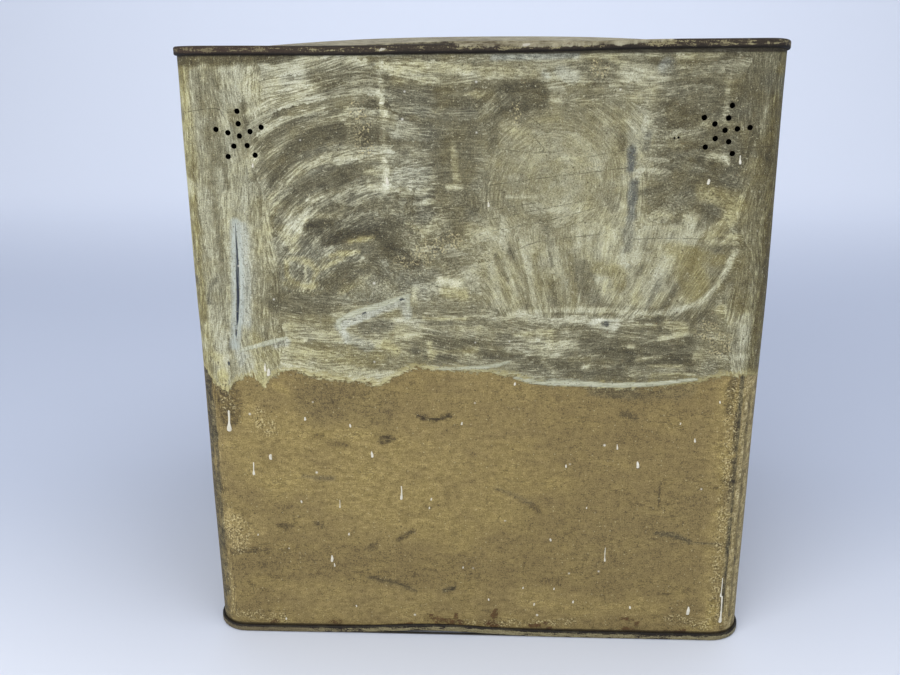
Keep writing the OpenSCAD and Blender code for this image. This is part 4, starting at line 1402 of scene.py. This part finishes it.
def base_plate():
    """The underside: the seam's grime, with painted shade where the seam meets the wall, giving way to brown
    lacquered tin with rust.
    """
    sh = Shader("base_plate")
    place = sh.place()
    out, from_gap, _ = sh.split(sh.attribute("profile"))
    patch = sh.swing(place, 1 / 16.0, 5.0, 0.65)
    grain = sh.swing(place, 1 / 1.2, 3.0, 0.65)
    wide = sh.swing(place, 1 / 70.0, 3.0, 0.6)
    tin = sh.ramp(
        0.5 + wide * 0.15 + patch * 0.2 + grain * 0.08, (0.0, 62, 46, 32), (0.4, 104, 86, 62),
        (0.7, 130, 116, 92), (1.0, 160, 150, 130),
    )
    inner = sh.step(-out + patch * 1.5, 3.0, 9.0)
    colour, height, patch, grain = seam_finish(sh, place, from_gap, tin, inner, 0.4)
    rough = 0.54 + patch * 0.08 + grain * 0.05
    return sh.finish(colour, rough, height, 0.00012, specular=0.2)


def bare_tin():
    """The inside: dull tinplate with a grey bloom and freckles of rust."""
    sh = Shader("bare_tin")
    place = sh.place()
    patch = sh.swing(place, 1 / 30.0, 5.0, 0.62)
    grain = sh.swing(place, 1 / 2.0, 4.0, 0.65)
    value = 0.5 + patch * 0.22 + grain * 0.1
    tin = sh.ramp(
        value, (0.0, 104, 96, 84), (0.4, 142, 136, 124), (0.7, 168, 164, 154), (1.0, 190, 187, 178),
    )
    freckle = sh.step(grain * 0.7 + patch * 0.7, 0.72, 1.0)
    colour = sh.mix(freckle * 0.85, tin, srgb(96, 62, 38))
    rough = 0.44 + patch * 0.08 + freckle * 0.3
    return sh.finish(colour, rough, grain, 0.00004, sh.step(freckle, 0.0, 1.0, 0.85, 0.1))


def lid_paint():
    """The lid: the same dirty cream, rubbed through on its curl, with the sunk ring round the centre panel
    darkened brown.
    """
    sh = Shader("lid_paint")
    place = sh.place()
    x, y, _ = sh.split(place)
    radius = sh.vector("LENGTH", sh.join(x, y))
    angle = sh.math("ARCTAN2", y, x)
    patch = sh.swing(place, 1 / 14.0, 5.0, 0.65)
    grain = sh.swing(place, 1 / 1.3, 3.0, 0.65)
    turned = sh.swing(sh.join(radius / 1.6, angle * 4.0), 1.0, 3.0, 0.6)
    value = 0.5 + patch * 0.18 + grain * 0.07 + turned * 0.1
    cream = sh.ramp(
        value, (0.0, 78, 71, 57), (0.3, 114, 107, 86), (0.55, 148, 142, 117), (0.8, 174, 169, 146),
        (1.0, 198, 194, 174),
    )
    wear = sh.step(radius, LID_R - 2.4, LID_R - 0.6)
    rubbed = sh.step(wear + patch * 0.4 + grain * 0.2, 0.55, 1.0)
    metal = sh.ramp(grain * 0.3 + 0.5, (0.0, 88, 78, 62), (1.0, 150, 142, 126))
    colour = sh.mix(rubbed, cream, metal)
    damp = sh.step(radius, 66.0, 70.0) * sh.step(radius, 89.0, 84.0)
    pool = sh.step(damp * 0.7 + patch * 0.4, 0.55, 1.0)
    colour = sh.mix(pool * 0.7, colour, srgb(92, 68, 44))
    rough = 0.56 + patch * 0.08 + rubbed * -0.12
    height = rubbed * -0.8 + patch * 0.6 + grain * 0.3
    return sh.finish(colour, rough, height, 0.00008, rubbed * 0.7, specular=0.4)


def solder():
    """Dull grey solder, dimpled and dirty."""
    sh = Shader("solder")
    place = sh.place()
    lump = sh.swing(place, 1 / 4.0, 3.0, 0.6)
    grain = sh.swing(place, 1 / 0.8, 2.0, 0.6)
    colour = sh.ramp(
        0.5 + lump * 0.25 + grain * 0.12, (0.0, 92, 88, 80), (0.5, 134, 132, 126), (1.0, 176, 175, 170),
    )
    return sh.finish(colour, 0.46 + lump * 0.08, lump + grain, 0.00012, 0.75)


def seal_compound():
    """Dark rubbery sealing compound."""
    sh = Shader("seal_compound")
    place = sh.place()
    lump = sh.swing(place, 1 / 3.0, 3.0, 0.6)
    colour = sh.ramp(lump * 0.3 + 0.5, (0.0, 34, 32, 30), (1.0, 66, 62, 56))
    return sh.finish(colour, 0.75 + lump * 0.06, lump, 0.0001)


def white_paint():
    """Dried white drips and splashes."""
    sh = Shader("white_paint")
    place = sh.place()
    patch = sh.swing(place, 1 / 3.0, 3.0, 0.6)
    colour = sh.ramp(patch * 0.3 + 0.55, (0.0, 160, 153, 130), (0.5, 198, 194, 178), (1.0, 222, 220, 210))
    return sh.finish(colour, 0.5 + patch * 0.06, patch, 0.00005)


# ---------------------------------------------------------------- ends, ring and lid


def outline(out, step=3.4, corner_steps=9):
    """The body's outline as a closed row of plan points, moved out; every offset has the same count."""
    radius = max(CORNER_R + out, 4.0)
    flat = HALF + out - radius
    along = np.linspace(-1, 1, round(2 * STRAIGHT / step) + 1)
    turn = np.linspace(0, math.pi / 2, corner_steps + 1)[1:-1]
    x = np.concatenate([along * flat, flat + radius * np.sin(turn)])
    y = np.concatenate([np.full(len(along), -flat - radius), -flat - radius * np.cos(turn)])
    sides = []
    for quarter in range(4):
        c, s = [(1, 0), (0, 1), (-1, 0), (0, -1)][quarter]
        sides.append(np.stack([c * x - s * y, s * x + c * y], 1))
    return np.concatenate(sides)


def crown(x, y):
    """Height of the crown's sphere."""
    return CROWN_TOP - CROWN_R + np.sqrt(CROWN_R**2 - x**2 - y**2)


def seam_corners(up):
    """The end plate's path through a rolled seam, from the hook's tip to the foot of the chuck wall."""
    base = 0.0 if up > 0 else BODY_H
    mid = SHEET / 2
    heights = [
        (0.3, 1.7, 0), (0.3, SEAM_H - mid, 0.3), (1.4, SEAM_H - mid, 0.75), (1.4, SEAM_H / 2, 0),
        (1.4, mid, 1.0), (-0.8, mid, 0.65),
    ]
    return [(out, base + up * z, radius) for out, z, radius in heights]


def bottom_loop():
    """The bottom end's profile, from its hook to the middle of the panel: (outward, height)."""
    floor = COUNTERSINK - SHEET / 2
    drop = 1.6
    corners = seam_corners(1) + [
        (-0.80, floor, 0.8), (-35.6, floor, 1.0), (-36.4, floor - drop, 1.0), (-60, floor - drop, 0),
        (-90, floor - drop, 0), (-120, floor - drop, 0), (-150, floor - drop, 0),
    ]
    return thickened(fillet(corners))


def make_bottom_end(material):
    under, over = bottom_loop()
    loop = np.concatenate([under, over[::-1]])
    verts, outs = [], []
    for out, z in loop:
        ring = outline(out)
        verts.append(np.column_stack([ring, np.full(len(ring), z)]))
        outs.append(np.full(len(ring), out))
    count = len(verts[0])
    open_at = len(under) - 1
    rows = len(loop)
    quads = grid_faces(rows, count, True, True)
    skipped = range(open_at * count, (open_at + 1) * count)
    faces = [face for k, face in enumerate(quads) if k not in skipped]
    faces.append([open_at * count + c for c in range(count)])
    faces.append([(open_at + 1) * count + c for c in reversed(range(count))])
    flat = np.concatenate(verts)
    points = roughened(dented(flat), 0.10)
    piece = mesh_piece("bottom_plate", points, faces, "tin", [material], ("bottom_end",), 50)
    outs = np.concatenate(outs)
    put_vectors(piece.data, "profile", (outs, SEAM_H - flat[:, 2], outs * 0))
    return piece


def roughened(points, amount):
    """Small unevenness of hand-worked plate, as a push along z."""
    x, y, z = points.T
    p = points.copy()
    lump = noise(x + y, x - y + 3 * z, 26, 61, 3) - 0.5
    p[:, 2] += amount * 2 * lump * (z > 3.0)
    return p


# White splashes on the top seam: (across, height, radius)
SEAM_SPLASHES = [
    (-50.5, BODY_H - 2.2, 1.8), (-47.0, BODY_H - 0.8, 1.0), (-72.0, BODY_H - 1.6, 1.0),
    (26.0, BODY_H - 1.0, 1.0),
]


def make_top_end(material):
    """The top end: seam, groove, crown, round seat and turned-down neck, as one plate."""
    groove = BODY_H - COUNTERSINK + SHEET / 2
    corners = seam_corners(-1) + [(-0.80, groove, 0.8), (-GROOVE_IN - 0.25, groove, 0)]
    rolled = fillet(corners)
    neck_r = MOUTH_R + LAYER + SHEET / 2
    floor = SEAT_FLOOR - SHEET / 2
    # rows beyond the groove: share of the way from the groove's edge to the seat, depth below the crown
    crown_rows = [(0.0, 3.0), (0.0, 1.5), (0.003, 0.7), (0.012, 0.15), (0.02, 0.0)]
    crown_rows += [(t, 0.0) for t in np.linspace(0.035, 0.96, 26)] + [(0.985, 0.05), (1.0, 0.35)]
    seat_z = crown(SEAT_R - SHEET / 2, 0) - SHEET / 2
    seat_path = fillet(
        [
            (SEAT_R - 0.25, seat_z - 0.6, 0), (SEAT_R - 0.25, floor, 0.8), (neck_r, floor, 0.9),
            (neck_r, SEAT_FLOOR - 4.8, 0),
        ]
    )
    edge = outline(-GROOVE_IN - 0.25)
    angle = np.arctan2(edge[:, 1], edge[:, 0])
    circle = np.column_stack([np.cos(angle), np.sin(angle)])

    def rings(side):
        """The rows of one face of the plate; side 1 is its upper face, -1 its lower."""
        made, outs = [], []
        rows = thickened(rolled)[0 if side < 0 else 1]
        for out, z in rows:
            ring = outline(out)
            made.append(np.column_stack([ring, np.full(len(ring), z)]))
            outs.append(np.full(len(ring), out))
        for share, depth in crown_rows:
            plan = edge * (1 - share) + circle * (SEAT_R - 0.25) * share
            plan = plan * (1 + side * 0.0015 * (share < 0.003))
            z = crown(plan[:, 0], plan[:, 1]) - SHEET / 2 - depth + side * SHEET / 2
            made.append(np.column_stack([plan, np.maximum(z, groove + side * SHEET / 2 + 0.02)]))
            outs.append(-GROOVE_IN - 0.25 - np.hypot(*(edge - plan).T))
        one, other = thickened(seat_path)
        for radius, z in (other if side < 0 else one)[1:]:
            made.append(np.column_stack([circle * radius, np.full(len(circle), z)]))
            outs.append(np.full(len(circle), -40.0))
        return made, outs

    upper, upper_outs = rings(1)
    lower, lower_outs = rings(-1)
    loop, outs = upper + lower[::-1], upper_outs + lower_outs[::-1]
    faces = grid_faces(len(loop), len(edge), True, True)
    flat = np.concatenate(loop)
    piece = mesh_piece("top_plate", dented(flat), faces, "tin", [material], ("top_end",), 50)
    outs = np.concatenate(outs)
    splash = np.zeros(len(flat))
    for across, up, size in SEAM_SPLASHES:
        away = np.hypot(flat[:, 0] - across, (flat[:, 2] - up) * 1.2) + 99 * (flat[:, 1] > -150)
        splash = np.maximum(splash, 1 - smooth(away, size * 0.5, size * 1.2))
    put_vectors(piece.data, "profile", (outs, flat[:, 2] - BODY_H + SEAM_H, splash))
    return piece


def turned(loop_rows, segments, capped):
    """A profile of (radius, z) turned about the tin's axis; capped closes it at the middle."""
    angle = np.linspace(0, 2 * math.pi, segments, endpoint=False)
    verts = [
        np.column_stack([r * np.cos(angle), r * np.sin(angle), np.full(segments, z)]) for r, z in loop_rows
    ]
    faces = grid_faces(len(loop_rows), segments, not capped, True)
    if capped:
        faces.append(list(range(segments)))
        faces.append([(len(loop_rows) - 1) * segments + k for k in reversed(range(segments))])
    return np.concatenate(verts), faces


def make_lid(material):
    """The plug lid: curled flange, plug wall and sunk pan with a raised centre."""
    top, floor = LID_TOP - SHEET / 2, PLUG_FOOT + SHEET / 2
    curl_r, plug_r = 0.85, MOUTH_R - 0.3 - SHEET / 2
    centre = (LID_R - 1.1, LID_TOP - 1.1)
    curl = [
        (centre[0] + curl_r * math.cos(a), centre[1] + curl_r * math.sin(a))
        for a in np.linspace(-4.2, math.pi / 2, 18)
    ]
    rise = floor + 1.5
    inner = fillet(
        [
            (centre[0], top, 0), (plug_r, top, 0.7), (plug_r, floor, 0.9), (66.6, floor, 0.8),
            (65.6, rise, 0.8), (52.0, rise, 0), (51.0, rise + 0.35, 0), (49.5, rise + 0.35, 0),
            (48.5, rise, 0), (30.0, rise, 0), (0.8, rise, 0),
        ]
    )
    one, other = thickened(np.vstack([curl, inner[1:]]))
    loop = np.concatenate([one[::-1], other])
    verts, faces = turned(loop, 288, True)
    x, y, _ = verts.T
    flat = (np.hypot(x, y) < 64) * (1 - smooth(np.hypot(x, y), 50, 64))
    verts[:, 2] += flat * 0.5 * (noise(x, y, 40, 41, 3) - 0.5)
    return mesh_piece("plug_lid", verts, faces, "lid", [material], ("lid",), 45)


def make_ring(material):
    """The friction ring: flange, rolled lip, deep wall and turned-out hem."""
    wall_r = MOUTH_R + SHEET / 2
    bead = (MOUTH_R + 1.1, SEAT_FLOOR + 1.1)
    roll = [
        (bead[0] + 0.85 * math.cos(a), bead[1] + 0.85 * math.sin(a)) for a in np.linspace(-1.2, math.pi, 16)
    ]
    path = np.vstack([roll, [(wall_r, SEAT_FLOOR - 2)], fillet([
        (wall_r, SEAT_FLOOR - 6, 0), (wall_r, RING_FOOT + 0.25, 0.6), (wall_r + 1.75, RING_FOOT + 0.25, 0),
    ])])
    one, other = thickened(path)
    verts, faces = turned(np.concatenate([one, other[::-1]]), 288, False)
    flange = [
        (MOUTH_R + 1.4, SEAT_FLOOR + 0.02), (SEAT_R - 1.05, SEAT_FLOOR + 0.02),
        (SEAT_R - 1.0, SEAT_FLOOR + 0.42), (SEAT_R - 1.2, SEAT_FLOOR + SHEET),
        (MOUTH_R + 1.9, SEAT_FLOOR + SHEET),
    ]
    more, more_faces = turned(flange, 288, False)
    faces += [[k + len(verts) for k in face] for face in more_faces]
    return mesh_piece(
        "mouth_ring", np.concatenate([verts, more]), faces, "tin", [material],
        ("friction_ring",), 45,
    )


# ---------------------------------------------------------------- drips and splashes

# Dried drips on the front face: (across, height of the lower end, length, width)
DRIPS = [
    (-123, 117.6, 1.8, 2.4), (-133.8, 107.5, 7.0, 1.8), (-45, 92.5, 7.5, 2.2), (-62, 120, 2.4, 2.0),
    (-82.6, 86.5, 4.5, 1.1), (-101, 143, 1.0, 1.6), (-74.3, 139, 1.2, 1.4), (-106, 89.3, 0.8, 1.4),
    (-27, 92.4, 0.8, 1.2), (-28.2, 86.6, 0.8, 1.1), (-89, 49.6, 3.0, 2.2), (-87.6, 46.3, 1.6, 1.2),
    (-77.8, 68, 0.8, 1.2), (94.8, 115.4, 2.6, 2.2), (82.4, 127, 2.4, 1.3), (53, 115, 1.2, 1.2),
    (127, 132, 1.6, 1.4), (45, 66.4, 0.8, 1.5), (78.2, 53.4, 8.5, 1.4), (130.6, 17.2, 3.6, 2.8),
    (36, 21.4, 0.9, 1.4), (60, 23.8, 0.9, 1.4), (7.8, 24, 0.8, 1.2), (95, 20.6, 0.9, 1.5),
    (139.6, 156.2, 0.9, 1.1), (-8.5, 141.4, 0.9, 1.3), (22.2, 166, 0.9, 1.4), (-146.4, 135.6, 11.0, 3.2),
    (150.6, 12.0, 17.0, 2.4), (149.8, 30, 12.0, 1.6), (139.8, 291.6, 3.4, 1.7), (124, 281, 1.4, 2.0),
    (-120.9, 170.6, 2.6, 2.6), (-122.6, 173.4, 3.6, 1.8), (6.4, 269, 1.6, 1.5), (-122, 290.4, 1.2, 1.4),
    (-48.6, 281, 2.4, 2.2), (29, 33.2, 0.7, 1.1), (48, 33, 0.7, 1.1), (-8, 46.6, 0.7, 1.0),
    (-134, 67, 0.6, 0.9), (66, 88.5, 0.6, 0.9), (-75, 17.6, 0.7, 1.1), (-120, 7.8, 0.8, 1.3),
    (118, 143, 0.6, 1.0),
]


def drip(across, foot, length, width):
    """A dried drip on the front wall: rounded at both ends, narrow above and full at its lower end."""
    rings, sides = 15, 9
    verts, faces = [], []
    width *= 0.8
    whole = length + width
    rise = min(0.16 + 0.08 * width, 0.4)
    for k in range(rings):
        t = (1 - math.cos(math.pi * k / (rings - 1))) / 2
        from_end = min(t * whole / (width * 0.5), (1 - t) * whole / (width * 0.3), 1.0)
        cap = math.sqrt(max(1 - (1 - from_end) ** 2, 0.0))
        taper = 1 - 0.55 * float(smooth(np.array(t * whole / width), 0.7, 2.6))
        half = max(width / 2 * cap * taper * (1 + 0.12 * math.sin(9 * t + 3 * across)), 0.02)
        sway = 0.10 * width * math.sin(4 * t + across)
        for j in range(sides):
            a = math.pi * j / (sides - 1)
            lift = rise * math.sin(a) * min(half / (width / 2) * 1.3, 1.0)
            verts.append((across + sway + half * math.cos(a), -HALF + 0.06 - lift, foot + whole * t))
        verts.append((across + sway, -HALF + 0.22, foot + whole * t))
    ring = sides + 1
    for k in range(rings - 1):
        for j in range(ring):
            a, b = k * ring + j, k * ring + (j + 1) % ring
            faces.append([a, b, b + ring, a + ring])
    faces.append(list(range(ring)))
    faces.append([(rings - 1) * ring + j for j in reversed(range(ring))])
    return verts, faces


def make_drips(material):
    verts, faces = [], []
    for row in DRIPS:
        v, f = drip(*row)
        faces += [[k + len(verts) for k in face] for face in f]
        verts += v
    return mesh_piece("paint_drips", dented(np.array(verts)), faces, "tin", [material])


# ---------------------------------------------------------------- room, light and camera


def make_stage():
    """A pale sweep: level floor that curves up into a wall far behind, with painted shade: the floor is
    darker behind the tin and the wall lighter again, as the studio light falls off.
    """
    sh = Shader("sweep")
    place = sh.own_metres()
    soft = sh.noise(place, 1.4, 2.0)
    _, depth, height = sh.split(place)
    # Painted shade: darker floor towards the back and lighter up the wall, for the light's fall-off across
    # the sweep.
    colour = sh.mix(sh.step(depth, -0.45, 0.1), srgb(233, 238, 250), srgb(184, 193, 213))
    colour = sh.mix(sh.step(height * 1.5 + depth, 0.6, 1.9), colour, srgb(229, 236, 251))
    colour = sh.mix(soft * 0.06, colour, srgb(180, 188, 206))
    material = sh.finish(colour, 0.8, specular=0.2)
    start, radius, wall_top = 1.5, 1.1, 3.2
    profile = [(-3.5, 0.0), (-1.0, 0.0), (0.0, 0.0), (start, 0.0)]
    for a in np.linspace(0, math.pi / 2, 14)[1:]:
        profile.append((start + radius * math.sin(a), radius * (1 - math.cos(a))))
    profile.append((start + radius, wall_top))
    xs = np.linspace(-4.5, 4.5, 10)
    verts = [(x, y, z) for y, z in profile for x in xs]
    mesh = bpy.data.meshes.new("sweep")
    mesh.from_pydata(verts, [], grid_faces(len(profile), len(xs), False, False))
    mesh.polygons.foreach_set("use_smooth", np.ones(len(mesh.polygons), bool))
    mesh.materials.append(material)
    floor = bpy.data.objects.new("sweep", mesh)
    bpy.context.scene.collection.objects.link(floor)


def area_light(name, place, target, size, power, colour):
    data = bpy.data.lights.new(name, "AREA")
    data.shape = "RECTANGLE"
    data.size, data.size_y = size
    data.energy = power
    data.color = colour
    light = bpy.data.objects.new(name, data)
    light.location = place
    light.rotation_euler = (Vector(target) - Vector(place)).to_track_quat("-Z", "Y").to_euler()
    bpy.context.scene.collection.objects.link(light)


def make_light():
    """Soft studio light: a broad key from the upper left, a wide overhead and a weak fill."""
    middle = (0.0, 0.0, 0.2)
    area_light("key", (-1.2, -1.8, 1.15), middle, (1.7, 1.4), 38.0, (1.0, 0.98, 0.93))
    area_light("overhead", (0.5, -0.4, 2.1), middle, (1.2, 1.2), 8.0, (1.0, 0.98, 0.93))
    area_light("ceiling", (0.3, -0.5, 2.5), middle, (2.8, 2.2), 17.5, (1.0, 0.98, 0.93))
    area_light("backdrop", (0.0, 1.0, 2.5), (0.0, 2.2, 0.3), (3.2, 0.8), 15.5, (0.98, 0.99, 1.0))
    area_light("fill", (1.7, -1.6, 0.9), middle, (1.4, 1.6), 9.5, (1.0, 0.98, 0.95))
    world = bpy.data.worlds.new("room")
    world.use_nodes = True
    background = world.node_tree.nodes["Background"]
    background.inputs["Color"].default_value = (0.80, 0.84, 0.93, 1.0)
    background.inputs["Strength"].default_value = 0.43
    bpy.context.scene.world = world
    bpy.context.scene.view_settings.view_transform = "Standard"


def make_camera():
    """Just above the tin's middle, close to the front and looking a little down."""
    pitch, yaw, roll = 0.28581, 0.047187, -0.0070256
    forward = Vector((-math.sin(yaw) * math.cos(pitch), math.cos(yaw) * math.cos(pitch), -math.sin(pitch)))
    level = Vector((math.cos(yaw), math.sin(yaw), 0.0))
    upward = level.cross(forward)
    right = level * math.cos(roll) + upward * math.sin(roll)
    up = upward * math.cos(roll) - level * math.sin(roll)
    data = bpy.data.cameras.new("camera")
    data.sensor_width = 36.0
    data.lens = 36.3
    data.clip_start, data.clip_end = 0.01, 50.0
    camera = bpy.data.objects.new("camera", data)
    turn = Matrix((right, up, -forward)).transposed().to_4x4()
    camera.matrix_world = Matrix.Translation((0.0083, -0.6592, 0.3404)) @ turn
    bpy.context.scene.collection.objects.link(camera)
    bpy.context.scene.camera = camera


def paint_node(node, material):
    """Gives a CAD node its finish."""
    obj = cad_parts[node]
    obj.data.materials.clear()
    obj.data.materials.append(material)


def main():
    make_camera()
    make_stage()
    make_light()
    paint, tin, grime = body_paint(), bare_tin(), base_plate()
    end = 2 * STRAIGHT + CORNER_ARC
    holes = star_holes()
    make_sheet("front_plate", end + FOLD_W, 176.0, 1.4, 1.6, front_fold(), holes, False, [paint, tin])
    make_sheet("rear_plate", end - FOLD_W - SOLDER_W, 176.0, 2.6, 2.6, rear_fold(), [], True, [paint, tin])
    make_bottom_end(grime)
    make_top_end(end_plate())
    make_ring(tin)
    make_lid(lid_paint())
    make_drips(white_paint())
    metal, rubber = solder(), seal_compound()
    for node in ("left_seam_solder", "right_seam_solder", "ring_solder"):
        paint_node(node, metal)
    for node in ("bottom_seam_seal", "top_seam_seal"):
        paint_node(node, rubber)


main()
